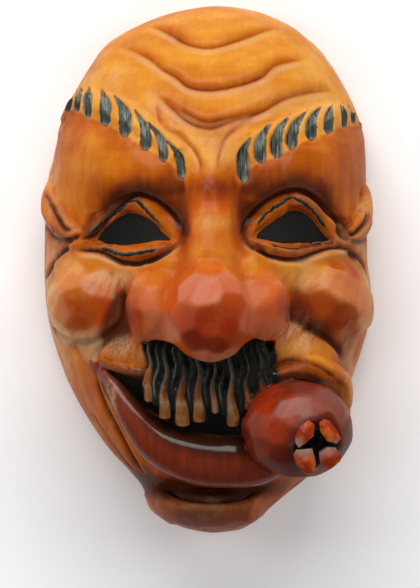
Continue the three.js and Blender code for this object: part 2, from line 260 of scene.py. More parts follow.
# Nose
NOSE_BRIDGE = [
    (0.001, 0.046, 0.089, 0.009, 0.011), (0.001, 0.020, 0.097, 0.013, 0.013),
    (0.001, 0.000, 0.103, 0.016, 0.016), (0.001, -0.018, 0.108, 0.020, 0.019),
]
NOSE_BALLS = [
    ((0.001, -0.0245, 0.113), (0.024, 0.027, 0.025)),
    ((-0.0295, -0.0225, 0.102), (0.0165, 0.0205, 0.0195)),
    ((0.0300, -0.0220, 0.102), (0.0155, 0.0200, 0.0190)),
    ((-0.0205, -0.0250, 0.103), (0.0115, 0.0180, 0.0170)),  # what joins the wings to the tip and the bridge
    ((0.0215, -0.0245, 0.103), (0.0115, 0.0175, 0.0165)),
    ((-0.0195, -0.0070, 0.092), (0.0140, 0.0200, 0.0160)),
    ((0.0210, -0.0060, 0.092), (0.0135, 0.0200, 0.0160)),
]
NOSE_HOLLOW = ((0.0, -0.014, 0.072), (0.017, 0.030, 0.034))
NOSTRILS = [
    ((-0.0265, -0.0425, 0.098), (0.0095, 0.0065, 0.013)),
    ((0.0275, -0.0415, 0.098), (0.0095, 0.0065, 0.013)),
]

# Cheeks: (at, radii, turn)
CHEEKS = [
    ((-0.067, -0.018, 0.061), (0.024, 0.0225, 0.027), 0.0),
    ((-0.064, 0.000, 0.052), (0.024, 0.016, 0.025), 0.0),
    ((0.0675, -0.015, 0.058), (0.029, 0.0205, 0.028), -0.6),
]

# Rolls of flesh that curl round the outer corners of the eyes
CURLS = [
    [
        (-0.087, 0.056, 0.018, 0.004, 0.005), (-0.090, 0.041, 0.036, 0.006, 0.008),
        (-0.085, 0.027, 0.054, 0.0065, 0.008), (-0.074, 0.019, 0.066, 0.005, 0.006),
        (-0.064, 0.016, 0.070, 0.002, 0.002),
    ],
    [
        (0.085, 0.056, 0.018, 0.004, 0.005), (0.088, 0.040, 0.036, 0.006, 0.008),
        (0.086, 0.026, 0.052, 0.0065, 0.008), (0.078, 0.017, 0.063, 0.005, 0.006),
        (0.069, 0.015, 0.068, 0.002, 0.002),
    ],
]

# Brows: a raised band, notched along its lower edge
BROW_LINES = [
    [(-0.084, 0.086), (-0.072, 0.094), (-0.057, 0.090), (-0.038, 0.079), (-0.017, 0.062)],
    [(0.088, 0.082), (0.075, 0.087), (0.058, 0.082), (0.039, 0.0745), (0.020, 0.062)],
]
BROW_ACROSS = 0.0095
BROW_HEIGHT = 0.005
BROW_SUNK = 0.0010
BROW_SIZES = (0.35, 0.85, 1, 1, 0.9)  # share of its full size at each point of the band


def brow_band(bm, line):
    stations = []
    for (x, y), size in zip(line, BROW_SIZES):
        stations.append(on_face(x, y, -BROW_SUNK, BROW_ACROSS * size, BROW_HEIGHT * size))
    tapered_roll(bm, stations)


# Eyes: the opening, then the middle lines of the upper and the lower lid
EYES = [
    {
        "opening": [(-0.0624, 0.0160), (-0.0573, 0.0236), (-0.0492, 0.0293), (-0.0430, 0.0312),
                    (-0.0360, 0.0290), (-0.0306, 0.0258), (-0.0260, 0.0211), (-0.0211, 0.0162),
                    (-0.0306, 0.0144), (-0.0406, 0.0126), (-0.0510, 0.0129), (-0.0591, 0.0145)],
        "upper": [(-0.0770, 0.0110), (-0.0670, 0.0185), (-0.0580, 0.0275), (-0.0500, 0.0335),
                  (-0.0425, 0.0368), (-0.0350, 0.0342), (-0.0280, 0.0292), (-0.0215, 0.0235),
                  (-0.0170, 0.0165)],
        "lower": [(-0.0745, 0.0090), (-0.0640, 0.0105), (-0.0520, 0.0085), (-0.0415, 0.0075),
                  (-0.0310, 0.0090), (-0.0215, 0.0120), (-0.0165, 0.0150)],
    },
    {
        "opening": [(0.0268, 0.0170), (0.0298, 0.0212), (0.0343, 0.0252), (0.0394, 0.0288),
                    (0.0440, 0.0318), (0.0490, 0.0330), (0.0548, 0.0308), (0.0598, 0.0267),
                    (0.0638, 0.0217), (0.0678, 0.0155), (0.0563, 0.0148), (0.0468, 0.0142),
                    (0.0389, 0.0142), (0.0314, 0.0157)],
        "upper": [(0.0215, 0.0170), (0.0265, 0.0245), (0.0330, 0.0300), (0.0400, 0.0352),
                  (0.0480, 0.0382), (0.0560, 0.0360), (0.0630, 0.0300), (0.0700, 0.0215),
                  (0.0790, 0.0130), (0.0850, 0.0105)],
        "lower": [(0.0225, 0.0165), (0.0285, 0.0125), (0.0380, 0.0090), (0.0480, 0.0078),
                  (0.0580, 0.0092), (0.0680, 0.0112), (0.0780, 0.0100)],
    },
]
LID_ACROSS = 0.0042
LID_HEIGHT = 0.0045
LID_LIFTS = {"upper": 0.0015, "lower": 0.0010}
TEAR_DUCT_AT = (-0.0222, 0.0135)
TEAR_DUCT_LIFT = 0.001
TEAR_DUCT_RADII = (0.0028, 0.0024, 0.003)


def lids(bm, eye):
    for edge, lift in LID_LIFTS.items():
        line = eye[edge]
        stations = []
        for i, (x, y) in enumerate(line):
            size = 0.35 + 0.65 * math.sin(math.pi * i / (len(line) - 1)) ** 0.5
            stations.append(on_face(x, y, lift * size, LID_ACROSS * size, LID_HEIGHT * size))
        tapered_roll(bm, stations, steps=8, sides=16)


# Mouth
MOUTH_OPENING = [
    (-0.0585, -0.0545), (-0.046, -0.0585), (-0.030, -0.061), (0.0, -0.062), (0.030, -0.062),
    (0.046, -0.070), (0.048, -0.086), (0.036, -0.092), (0.018, -0.0935), (-0.008, -0.0908),
    (-0.028, -0.083), (-0.047, -0.0695),
]
LOWER_LIP = [
    (-0.059, -0.057, 0.082, 0.002, 0.003), (-0.051, -0.068, 0.088, 0.005, 0.006),
    (-0.042, -0.082, 0.092, 0.008, 0.009), (-0.028, -0.097, 0.094, 0.0115, 0.011),
    (-0.008, -0.1055, 0.096, 0.014, 0.012), (0.010, -0.1075, 0.096, 0.014, 0.012),
    (0.028, -0.107, 0.093, 0.013, 0.011), (0.046, -0.099, 0.088, 0.009, 0.009),
]
UPPER_LIP_LEFT = [
    (-0.060, -0.053, 0.084, 0.0015, 0.002), (-0.047, -0.056, 0.091, 0.003, 0.004),
    (-0.030, -0.058, 0.095, 0.0036, 0.005),
]
UPPER_LIP_RIGHT = [
    (0.026, -0.062, 0.096, 0.004, 0.005), (0.043, -0.059, 0.094, 0.007, 0.008),
    (0.060, -0.057, 0.088, 0.008, 0.009), (0.073, -0.064, 0.078, 0.007, 0.008),
    (0.0755, -0.077, 0.066, 0.0055, 0.007), (0.0740, -0.087, 0.050, 0.005, 0.007),
    (0.0700, -0.096, 0.034, 0.002, 0.003),
]

LOWER_LIP_PATH = smooth_curve([station[:3] for station in LOWER_LIP], 8)

# What the moustache grows out of: (at, radii)
MOUSTACHE_BACKING = [
    ((0.0, -0.048, 0.090), (0.034, 0.013, 0.013)),
    ((-0.001, -0.055, 0.0945), (0.031, 0.021, 0.0065)),
]
BACKING_BOX = ((-0.036, 0.036), (-0.080, -0.036), (0.088, 0.101))  # painted black between the strands
BACKING_EDGE = (0.030, 0.036)

# The strands from left to right: (x and y of the tip, half width, how bare the wood is)
STRANDS = [
    (-0.0335, -0.0730, 0.0024, 1.0), (-0.0290, -0.0750, 0.0024, 0.0), (-0.0243, -0.0828, 0.0034, 0.9),
    (-0.0193, -0.0775, 0.0017, 0.0), (-0.0146, -0.0866, 0.0040, 1.0), (-0.0098, -0.0790, 0.0017, 0.0),
    (-0.0052, -0.0846, 0.0036, 0.9), (-0.0008, -0.0780, 0.0016, 0.0), (0.0034, -0.0795, 0.0022, 0.7),
    (0.0080, -0.0800, 0.0020, 0.0), (0.0136, -0.0869, 0.0037, 0.9), (0.0184, -0.0790, 0.0017, 0.0),
    (0.0222, -0.0773, 0.0024, 0.7), (0.0262, -0.0740, 0.0018, 0.0), (0.0300, -0.0700, 0.0026, 0.5),
    (0.0335, -0.0660, 0.0022, 0.0),
]
# Along a strand: share of its length, bend to the side, share of its width
STRAND_SHAPE = [
    (0, 0, 0.6), (0.22, 1, 0.62), (0.45, -0.6, 0.70), (0.68, 0.8, 0.92), (0.86, 0, 1.04), (1, -0.2, 0.98),
]
STRAND_ROOT_Y = -0.036
STRAND_ROOT_SHARE = 0.92
STRAND_WAVE = 0.0013
STRAND_HEIGHT = 0.1045
STRAND_THICKNESS = 0.0034  # half of it, where a strand is thinnest
STRAND_SWELL = 0.0014
ROOT_DROP = 0.005  # how far the strands fall back at the root and at the tip
TIP_DROP = 0.004
DARK_STRAND_DROP = 0.0014  # the strands left black lie a little deeper
# The black is rubbed off towards the tips: how far, and over what share of the width, along a strand
BARE_ALONG = [(0.0, 0.0), (0.30, 0.14), (0.44, 0.40), (0.62, 0.56), (0.70, 0.70), (0.76, 0.84),
              (1.0, 1.0)]
BARE_ACROSS = [(0.0, 0.2), (0.35, 0.50), (0.60, 0.80), (0.85, 0.92), (1.0, 1.0)]
GLINT_AT = -0.42  # a thin grey painted highlight along each strand: where across its width, and how wide
GLINT_WIDTH = 0.20
STRAND_REACH = 0.0085  # paint of a strand lies within this distance of its middle line
STRAND_EDGE = (0.0055, 0.0075)


def strand_stations(x, y, width, bare):
    root_x = x * STRAND_ROOT_SHARE
    stations = []
    for share, bend, size in STRAND_SHAPE:
        px = root_x + (x - root_x) * share - STRAND_WAVE * bend
        py = STRAND_ROOT_Y + (y - STRAND_ROOT_Y) * share
        drop = ROOT_DROP * (1 - share) ** 2 + TIP_DROP * share ** 3 + (0 if bare else DARK_STRAND_DROP)
        stations.append((px, py, STRAND_HEIGHT - drop, width * size, STRAND_THICKNESS + STRAND_SWELL * size))
    return stations


# The fruit in the corner of the mouth, and the four blocky lobes of its calyx
FRUIT_AT = (0.049, -0.0885, 0.108)
FRUIT_RADII = (0.0296, 0.0264, 0.027)
FRUIT_AXIS = (0.36, -0.30, 0.88)
CALYX_AT = (0.0590, -0.0946)
# Front outlines of the four lobes
LOBES = [
    [(0.0468, -0.0912), (0.0492, -0.0858), (0.0537, -0.0825), (0.0569, -0.0850), (0.0562, -0.0905),
     (0.0524, -0.0940), (0.0488, -0.0966), (0.0472, -0.0944)],
    [(0.0600, -0.0835), (0.0624, -0.0818), (0.0652, -0.0828), (0.0688, -0.0872), (0.0708, -0.0920),
     (0.0686, -0.0944), (0.0640, -0.0930), (0.0604, -0.0880)],
    [(0.0460, -0.1010), (0.0474, -0.0985), (0.0556, -0.0978), (0.0574, -0.1045), (0.0570, -0.1100),
     (0.0528, -0.1108), (0.0474, -0.1056)],
    [(0.0598, -0.0998), (0.0640, -0.0970), (0.0682, -0.0972), (0.0712, -0.1010), (0.0706, -0.1044),
     (0.0652, -0.1080), (0.0604, -0.1050)],
]
LOBE_TOP = 0.1405
LOBE_SLOPE = 0.22  # each lobe falls away from the middle of the calyx
LOBE_FLAT = 0.006  # from the middle out to where a lobe is LOBE_TOP high
LOBE_GROWTH = 0.06
LOBE_STEPS = [(0.0030, 0.97), (0.0110, 0.93)]  # how far down, and the share of the outline left there
LOBE_POINT = 0.0018
CALYX_PIT = ((0.0587, -0.0962, 0.1340), (0.0085, 0.0085, 0.0085))


def lobe_top(x, y):
    return LOBE_TOP - LOBE_SLOPE * (np.hypot(x - CALYX_AT[0], y - CALYX_AT[1]) - LOBE_FLAT)


def lobe(bm, line):
    """A block of the given front outline, its top cut to a low point of several facets."""
    corners = []
    middle_x, middle_y = np.mean(line, axis=0)
    for x, y in line:
        x += LOBE_GROWTH * (x - middle_x)
        y += LOBE_GROWTH * (y - middle_y)
        corners.append(bm.verts.new((x, y, lobe_top(x, y))))
    top = bm.faces.new(corners)
    towards = Vector((*CALYX_AT, 0))
    below = top
    sides = []
    for drop, share in LOBE_STEPS:
        grown = bmesh.ops.extrude_face_region(bm, geom=[below], use_keep_orig=below is top)["geom"]
        foot = [item for item in grown if isinstance(item, bmesh.types.BMVert)]
        below = next(item for item in grown if isinstance(item, bmesh.types.BMFace))
        bmesh.ops.translate(bm, vec=(0, 0, -drop), verts=foot)
        bmesh.ops.scale(bm, vec=(share, share, 1), space=Matrix.Translation(-towards), verts=foot)
        sides += [face for vert in foot for face in vert.link_faces]
    bmesh.ops.recalc_face_normals(bm, faces=list({top, *sides}))
    bmesh.ops.poke(bm, faces=[top], offset=LOBE_POINT)


def add_calyx(mask):
    """The four lobes stand on the fruit with sharp edges; the count of the other points is returned."""
    mask.data.shade_smooth()
    bm = bmesh.new()
    bm.from_mesh(mask.data)
    count = len(bm.verts)
    for line in LOBES:
        lobe(bm, line)
    bm.to_mesh(mask.data)
    bm.free()
    return count


# Mesh steps
def object_from(bm, name):
    mesh = bpy.data.meshes.new(name)
    bm.to_mesh(mesh)
    bm.free()
    made = bpy.data.objects.new(name, mesh)
    bpy.context.scene.collection.objects.link(made)
    return made


def apply_modifiers(thing):
    graph = bpy.context.evaluated_depsgraph_get()
    mesh = bpy.data.meshes.new_from_object(thing.evaluated_get(graph))
    old = thing.data
    thing.modifiers.clear()
    thing.data = mesh
    bpy.data.meshes.remove(old)


def remesh(thing, voxel):
    step = thing.modifiers.new("remesh", "REMESH")
    step.mode = "VOXEL"
    step.voxel_size = voxel
    apply_modifiers(thing)


def cut(thing, shape, *sizes, **more):
    """The thing without the shape that the function makes from these sizes."""
    bm = bmesh.new()
    shape(bm, *sizes, **more)
    tool = object_from(bm, "cutter")
    step = thing.modifiers.new("cut", "BOOLEAN")
    step.operation = "DIFFERENCE"
    step.solver = "MANIFOLD"
    step.object = tool
    apply_modifiers(thing)
    bpy.data.objects.remove(tool)


def join_onto(thing, bm):
    bm.from_mesh(thing.data)
    bm.to_mesh(thing.data)
    bm.free()


def positions(mesh):
    flat = np.empty(len(mesh.vertices) * 3)
    mesh.vertices.foreach_get("co", flat)
    return flat.reshape(-1, 3)


def set_positions(mesh, points):
    mesh.vertices.foreach_set("co", points.ravel())
    mesh.update()


def normals(mesh):
    flat = np.empty(len(mesh.vertices) * 3)
    mesh.vertex_normals.foreach_get("vector", flat)
    return flat.reshape(-1, 3)


def edge_ends(mesh):
    flat = np.empty(len(mesh.edges) * 2, dtype=np.int32)
    mesh.edges.foreach_get("vertices", flat)
    return flat.reshape(-1, 2)


def relaxed(values, ends, rounds, share=0.5):
    """Each vertex's value moved towards the mean of its neighbours', round after round."""
    count = len(values)
    degree = np.bincount(ends.ravel(), minlength=count)[:, None]
    values = values.reshape(count, -1).copy()
    for _ in range(rounds):
        total = np.zeros_like(values)
        for column in range(values.shape[1]):
            total[:, column] = np.bincount(ends[:, 0], values[ends[:, 1], column], count)
            total[:, column] += np.bincount(ends[:, 1], values[ends[:, 0], column], count)
        values += (total / np.maximum(1, degree) - values) * share
    return values


# Building the mask
def rough_block():
    bm = bmesh.new()
    bowl(bm, BLOCK_SEGMENTS, BLOCK_RINGS, -SKIRT, 0.0, face_height)
    tapered_roll(bm, NOSE_BRIDGE, steps=8, sides=32)
    for at, radii in NOSE_BALLS:
        ball_mass(bm, at, radii)
    for at, radii, turn in CHEEKS:
        ball_mass(bm, at, radii, turn)
    block = object_from(bm, "carved_mask")
    remesh(block, ROUGH_VOXEL)
    mesh = block.data
    set_positions(mesh, relaxed(positions(mesh), edge_ends(mesh), SOFTENING_ROUNDS))
    bm = bmesh.new()
    for stations in CURLS:
        tapered_roll(bm, stations)
    for line in BROW_LINES:
        brow_band(bm, line)
    for eye in EYES:
        lids(bm, eye)
    tear_duct = (*TEAR_DUCT_AT, height_at(*TEAR_DUCT_AT) + TEAR_DUCT_LIFT)
    ball_mass(bm, tear_duct, TEAR_DUCT_RADII, fineness=4)
    join_onto(block, bm)
    remesh(block, ROUGH_VOXEL)
    return block


def build_mask():
    mask = rough_block()
    for at, radii in NOSTRILS:
        cut(mask, ball_mass, at, radii, fineness=4)
    cut(mask, post, smooth_curve(MOUTH_OPENING, 6, closed=True))
    cut(mask, bowl, *HOLLOW_FINENESS, -2 * SKIRT, WALL, lambda x, y: shell_height(x, y, HOLLOW_HEIGHT, WALL))
    cut(mask, ball_mass, *NOSE_HOLLOW, fineness=5)
    bm = bmesh.new()
    for roll in (LOWER_LIP, UPPER_LIP_LEFT, UPPER_LIP_RIGHT):
        tapered_roll(bm, roll, steps=8, sides=32)
    for at, radii in MOUSTACHE_BACKING:
        ball_mass(bm, at, radii, fineness=5)
    for strand in STRANDS:
        tapered_roll(bm, strand_stations(*strand), steps=6, sides=14)
    ball_mass(bm, FRUIT_AT, FRUIT_RADII)
    join_onto(mask, bm)
    remesh(mask, FINE_VOXEL)
    cut(mask, ball_mass, *CALYX_PIT, fineness=4)
    for eye in EYES:
        cut(mask, post, smooth_curve(eye["opening"], 6, closed=True))
    return mask


# Relief carved into the surface
FOREHEAD_FOLDS = [
    [(-0.036, 0.140), (-0.028, 0.1375), (-0.0199, 0.1325), (-0.0137, 0.1279), (-0.0008, 0.1245),
     (0.0121, 0.1277), (0.0243, 0.1326), (0.034, 0.1368), (0.044, 0.139)],
    [(-0.054, 0.129), (-0.0444, 0.1254), (-0.0327, 0.1185), (-0.025, 0.1118), (-0.0182, 0.1076),
     (-0.0106, 0.1012), (0.0014, 0.0996), (0.018, 0.1027), (0.0294, 0.1073), (0.0371, 0.1144),
     (0.052, 0.119), (0.060, 0.1215)],
    [(-0.034, 0.101), (-0.0263, 0.0952), (-0.018, 0.0874), (-0.009, 0.0804), (0.0014, 0.078),
     (0.0103, 0.0811), (0.0292, 0.0874), (0.0429, 0.0955), (0.0552, 0.0992), (0.0671, 0.1014),
     (0.075, 0.1016)],
]
FOREHEAD_FINE = [
    [(-0.0187, 0.0912), (-0.0103, 0.0851), (-0.0008, 0.081), (0.0103, 0.0833), (0.0283, 0.087)],
    [(-0.030, 0.0955), (-0.0254, 0.0801), (-0.0157, 0.0743), (-0.0052, 0.0607), (-0.004, 0.052)],
    [(0.0265, 0.084), (0.0194, 0.0811), (0.0103, 0.0736), (0.0059, 0.0623), (0.005, 0.052)],
]
FOREHEAD_CORES = [line[2:-2] for line in FOREHEAD_FOLDS]  # where each fold is deepest
UPPER_LID_CREASES = [
    [(-0.0760, 0.0165), (-0.070, 0.0170), (-0.0623, 0.0195), (-0.0538, 0.0303), (-0.0459, 0.0380),
     (-0.0392, 0.0413), (-0.0324, 0.0395), (-0.0241, 0.0345), (-0.0169, 0.0267), (-0.0141, 0.0200),
     (-0.0140, 0.0150)],
    [(0.0189, 0.0160), (0.0191, 0.0222), (0.0230, 0.0295), (0.0308, 0.0367), (0.0398, 0.0418),
     (0.0488, 0.0436), (0.0556, 0.0415), (0.0636, 0.0350), (0.0718, 0.0251), (0.0765, 0.0185),
     (0.0830, 0.0155)],
]
LOWER_LID_CREASES = [
    [(-0.0790, 0.0110), (-0.0699, 0.0098), (-0.0606, 0.0085), (-0.0520, 0.0046), (-0.0469, 0.0024),
     (-0.0380, 0.0018), (-0.0279, 0.0050), (-0.0202, 0.0100), (-0.0157, 0.0160)],
    [(0.0190, 0.0185), (0.0241, 0.0110), (0.0330, 0.0065), (0.0425, 0.0044), (0.0510, 0.0050),
     (0.0601, 0.0084), (0.0694, 0.0112), (0.0772, 0.0112), (0.0840, 0.0085)],
]
CROW_FEET = [
    [(-0.0958, 0.0481), (-0.0893, 0.0368), (-0.0845, 0.0284), (-0.0807, 0.0225), (-0.0758, 0.0207)],
    [(-0.0969, 0.0281), (-0.0911, 0.0219), (-0.0844, 0.0175), (-0.0770, 0.0167), (-0.0699, 0.0205)],
    [(-0.0780, 0.0118), (-0.0801, 0.0106), (-0.0857, 0.0062), (-0.0913, -0.0016), (-0.0958, -0.0072)],
    [(0.0913, 0.0332), (0.0889, 0.0271), (0.0841, 0.0211), (0.0803, 0.0192), (0.0778, 0.0231)],
    [(0.0945, 0.0216), (0.0868, 0.0161), (0.0803, 0.0158), (0.0742, 0.0184), (0.0706, 0.0245)],
    [(0.0780, 0.0100), (0.0797, 0.0089), (0.0854, 0.0063), (0.0894, 0.0007), (0.0925, -0.0060)],
]
CHEEK_CREASES = [
    [(-0.0934, -0.0284), (-0.0855, -0.0362), (-0.0751, -0.0410), (-0.0637, -0.0401), (-0.0538, -0.0344),
     (-0.0481, -0.0277), (-0.0470, -0.0176), (-0.0480, -0.0080)],
    [(-0.0453, -0.0300), (-0.0504, -0.0355), (-0.0561, -0.0400), (-0.0620, -0.0457), (-0.0632, -0.0525)],
    [(0.0764, -0.0546), (0.0732, -0.0459), (0.0659, -0.0390), (0.0578, -0.0344), (0.0510, -0.0299),
     (0.0464, -0.0276), (0.0440, -0.0200)],
]
MUZZLE_CREASES = [
    [(0.0297, -0.0597), (0.0397, -0.0520), (0.0498, -0.0510), (0.0614, -0.0546), (0.0710, -0.0618),
     (0.0798, -0.0700)],
]
JAW_CREASES = [
    [(-0.0640, -0.0540), (-0.0600, -0.0693), (-0.0552, -0.0805), (-0.0486, -0.0930), (-0.0418, -0.1060),
     (-0.0345, -0.1180)],
    [(-0.0660, -0.0800), (-0.0580, -0.0927), (-0.0500, -0.1043), (-0.0415, -0.1145)],
]
CHIN_CREASE = [(-0.0360, -0.1234), (-0.0243, -0.1234), (-0.0131, -0.1278), (0.0009, -0.1294),
               (0.0148, -0.1283), (0.0266, -0.1252), (0.0340, -0.1220)]
NOSE_WING_CREASES = [
    [(-0.0185, -0.0030), (-0.0225, -0.0130), (-0.0235, -0.0250), (-0.0205, -0.0370)],
    [(0.0205, -0.0370), (0.0240, -0.0250), (0.0230, -0.0130), (0.0190, -0.0030)],
]

# Kinds of crease: depth and width of the groove, then height and width of the swell to its left
# and of the swell to its right
DEEP_FOLD = (0.0007, 0.0013, 0.0019, 0.0064, -0.0012, 0.0060)
FINE_FOLD = (0.0006, 0.0013, 0.0006, 0.0030, 0.0, 0.0030)
LID_FOLD = (0.0030, 0.0015, 0.0020, 0.0052, 0.0006, 0.0024)
UNDER_LID_FOLD = (0.0024, 0.0015, 0.0003, 0.0030, 0.0018, 0.0034)
SIDE_FOLD = (0.0024, 0.0015, 0.0006, 0.0030, 0.0006, 0.0030)
WING_FOLD = (0.0010, 0.0034, 0.0, 0.0030, 0.0, 0.0030)
CHEEK_FOLD = (0.0026, 0.0022, 0.0010, 0.0040, 0.0004, 0.0050)
JAW_FOLD = (0.0016, 0.0018, 0.0012, 0.0026, 0.0006, 0.0050)
CHIN_FOLD = (0.0030, 0.0026, 0.0004, 0.0050, 0.0012, 0.0030)
RIDGE = (-0.0014, 0.0055, 0.0, 0.0030, 0.0, 0.0030)

# Sharp edges that the knife left standing
RIDGES = [
    [(-0.0110, 0.0270), (-0.0060, 0.0292), (0.0015, 0.0300), (0.0090, 0.0292), (0.0140, 0.0270)],
    [(-0.0154, -0.0181), (-0.0089, -0.0208), (-0.0024, -0.0213), (0.0041, -0.0186), (0.0090, -0.0127)],
    [(0.0440, -0.0110), (0.0539, -0.0104), (0.0611, -0.0121), (0.0678, -0.0160), (0.0740, -0.0193),
     (0.0807, -0.0238)],
]

# Brow hairs: gouge cuts, each from its upper end through its belly to its lower end, and its half width
BROW_CUTS = [
    ([(-0.0772, 0.1000), (-0.0792, 0.0955), (-0.0822, 0.0905)], 0.0024),
    ([(-0.0739, 0.1051), (-0.0740, 0.0973), (-0.0755, 0.0897)], 0.0029),
    ([(-0.0690, 0.1047), (-0.0684, 0.0965), (-0.0678, 0.0855)], 0.0036),
    ([(-0.0607, 0.1027), (-0.0578, 0.0916), (-0.0578, 0.0801)], 0.0044),
    ([(-0.0532, 0.0986), (-0.0466, 0.0860), (-0.0465, 0.0734)], 0.0045),
    ([(-0.0415, 0.0897), (-0.0349, 0.0758), (-0.0351, 0.0655)], 0.0039),
    ([(-0.0345, 0.0826), (-0.0265, 0.0714), (-0.0245, 0.0589)], 0.0033),
    ([(-0.0236, 0.0716), (-0.0166, 0.0622), (-0.0143, 0.0498)], 0.0031),
    ([(0.0230, 0.0736), (0.0193, 0.0628), (0.0198, 0.0478)], 0.0044),
    ([(0.0349, 0.0820), (0.0289, 0.0705), (0.0288, 0.0581)], 0.0043),
    ([(0.0463, 0.0872), (0.0380, 0.0733), (0.0382, 0.0611)], 0.0042),
    ([(0.0556, 0.0893), (0.0472, 0.0773), (0.0461, 0.0661)], 0.0041),
    ([(0.0641, 0.0932), (0.0577, 0.0816), (0.0573, 0.0716)], 0.0039),
    ([(0.0704, 0.0937), (0.0678, 0.0844), (0.0673, 0.0759)], 0.0036),
    ([(0.0752, 0.0943), (0.0772, 0.0875), (0.0769, 0.0803)], 0.0031),
    ([(0.0802, 0.0952), (0.0823, 0.0895), (0.0831, 0.0833)], 0.0025),
    ([(0.0846, 0.0915), (0.0866, 0.0875), (0.0876, 0.0835)], 0.0018),
]
BROW_CUT_DEPTH = 0.0026


def flat_path(line, steps=8):
    """The curve through the points, as it is seen from the front."""
    return smooth_curve([(point[0], point[1], 0.0) for point in line], steps)


def laid_on(tree, line, steps=8):
    """The curve through (x, y) points, laid on the surface as it is seen from the front."""
    path = []
    z = 0.0
    for x, y in smooth_curve(line, steps):
        hit = tree.ray_cast((x, y, THROUGH), (0, 0, -1))[0]
        if hit:
            z = hit.z
        path.append((x, y, z))
    path = np.array(path)
    for _ in range(4):
        path[1:-1, 2] = (path[:-2, 2] + 2 * path[1:-1, 2] + path[2:, 2]) / 4
    return path


def measured_from(path, points, reach):
    """Which points lie within reach of the path, how far to its left or right, and the share along it."""
    near = np.flatnonzero(np.all((points > path.min(0) - reach) & (points < path.max(0) + reach), axis=1))
    spot = points[near]
    away = np.full(len(near), np.inf)
    side = np.ones(len(near))
    along = np.zeros(len(near))
    for i in range(len(path) - 1):
        step = path[i + 1] - path[i]
        share = np.clip((spot - path[i]) @ step / (step @ step), 0, 1)
        off = spot - path[i] - share[:, None] * step
        distance = np.sqrt((off ** 2).sum(1))
        closer = distance < away
        away[closer] = distance[closer]
        side[closer] = np.sign(step[0] * off[closer, 1] - step[1] * off[closer, 0])
        along[closer] = (i + share[closer]) / (len(path) - 1)
    kept = away < reach
    return near[kept], (away * side)[kept], along[kept]


def smooth_step(low, high, value):
    """0 up to low, 1 from high on, and an even rise between; the other way round where low is the higher."""
    share = np.clip((value - low) / (high - low), 0, 1)
    return share * share * (3 - 2 * share)


def swell(distance):
    """A rounded swell beside a groove: 0 at the groove, 1 at one width from it."""
    return distance * np.exp(1 - distance)


def fading_ends(along, share=0.16):
    return smooth_step(0, share, np.minimum(along, 1 - along))


def crease(shift, points, path, depth, width, left, left_width, right, right_width):
    near, off, along = measured_from(path, points, 5 * max(width, left_width, right_width))
    move = -depth * np.exp(-(np.abs(off) / width) ** 1.5)
    move += np.where(off > 0, left * swell(np.maximum(0, off) / left_width),
                     right * swell(np.maximum(0, -off) / right_width))
    shift[near] += move * fading_ends(along, 0.24) * smooth_step(*SIDES_PLAIN_BELOW, points[near, 2])


def leaf(off, along, width):
    """How deep inside a leaf-shaped cut a point is: 1 on its middle line, 0 at its edge, below 0 outside."""
    blunt = np.clip((1 - along) / 0.20, 0, 1)
    half = width * np.clip(along / 0.55, 0, 1) ** 0.75 * np.sqrt(blunt * (2 - blunt))
    return 1 - (np.abs(off) / np.maximum(1e-5, half)) ** 2


# Which lines are cut as which kind
CREASES = [
    (FOREHEAD_FOLDS, DEEP_FOLD), (FOREHEAD_FINE, FINE_FOLD), (UPPER_LID_CREASES, LID_FOLD),
    (LOWER_LID_CREASES, UNDER_LID_FOLD), (CROW_FEET, SIDE_FOLD), (CHEEK_CREASES, CHEEK_FOLD),
    (MUZZLE_CREASES, FINE_FOLD), (JAW_CREASES, JAW_FOLD), ([CHIN_CREASE], CHIN_FOLD),
    (NOSE_WING_CREASES, WING_FOLD), (RIDGES, RIDGE),
]


def carve_relief(points, out, tree):
    shift = np.zeros(len(points))
    for lines, kind in CREASES:
        for line in lines:
            crease(shift, points, laid_on(tree, line), *kind)
    for line, width in BROW_CUTS:
        near, off, along = measured_from(laid_on(tree, line), points, 2 * width)
        shift[near] -= BROW_CUT_DEPTH * np.maximum(0, leaf(off, along, width)) ** 0.8
    return points + out * (shift * (out[:, 2] > -0.2))[:, None]


# Chisel marks: (at, reach, size of a flat, how flat it is cut, furthest that it moves the surface)
CHISEL_ZONES = [
    ((0.001, -0.025, 0.118), 0.036, 0.0110, 0.48, 0.0040),  # nose
    ((-0.032, -0.024, 0.105), 0.019, 0.0110, 0.40, 0.0032),
    ((0.032, -0.023, 0.105), 0.019, 0.0110, 0.40, 0.0032),
    ((-0.068, -0.018, 0.072), 0.034, 0.0120, 0.48, 0.0036),  # cheeks
    ((0.067, -0.015, 0.070), 0.036, 0.0120, 0.48, 0.0036),
    ((0.049, -0.0885, 0.115), 0.036, 0.0105, 0.50, 0.0034),  # fruit
    ((0.000, -0.137, 0.070), 0.038, 0.0110, 0.55, 0.0030),  # chin
]
PLAIN_FACET = 0.0150  # the same measures away from these zones
PLAIN_FLATNESS = 0.30
PLAIN_MOVE = 0.0013
CLEAR_OF_GROOVES = 0.0065  # the flats give way within this distance of a deep groove
CLEAR_OF_LIP = (0.013, 0.018)  # and between these distances from the middle of the lower lip
SPOTS_TRIED = 40000
FLATS_FELT = 5  # how many flats round a point count
FLATS_TILT = 0.03  # how unevenly the flats are turned
BROAD_ENOUGH = (0.86, 0.96)
MOVE_EASES = (0.7, 1.6)  # shares of the furthest move between which the flats let go
EDGE_SHARPNESS = 5  # of the edges between the flats
PAINT_SHARPNESS = 11  # of the change in glaze and in painted shade and highlight from flat to flat
PLAIN_GLAZE = (0.12, 0.0)  # most darkening and paling of the other flats
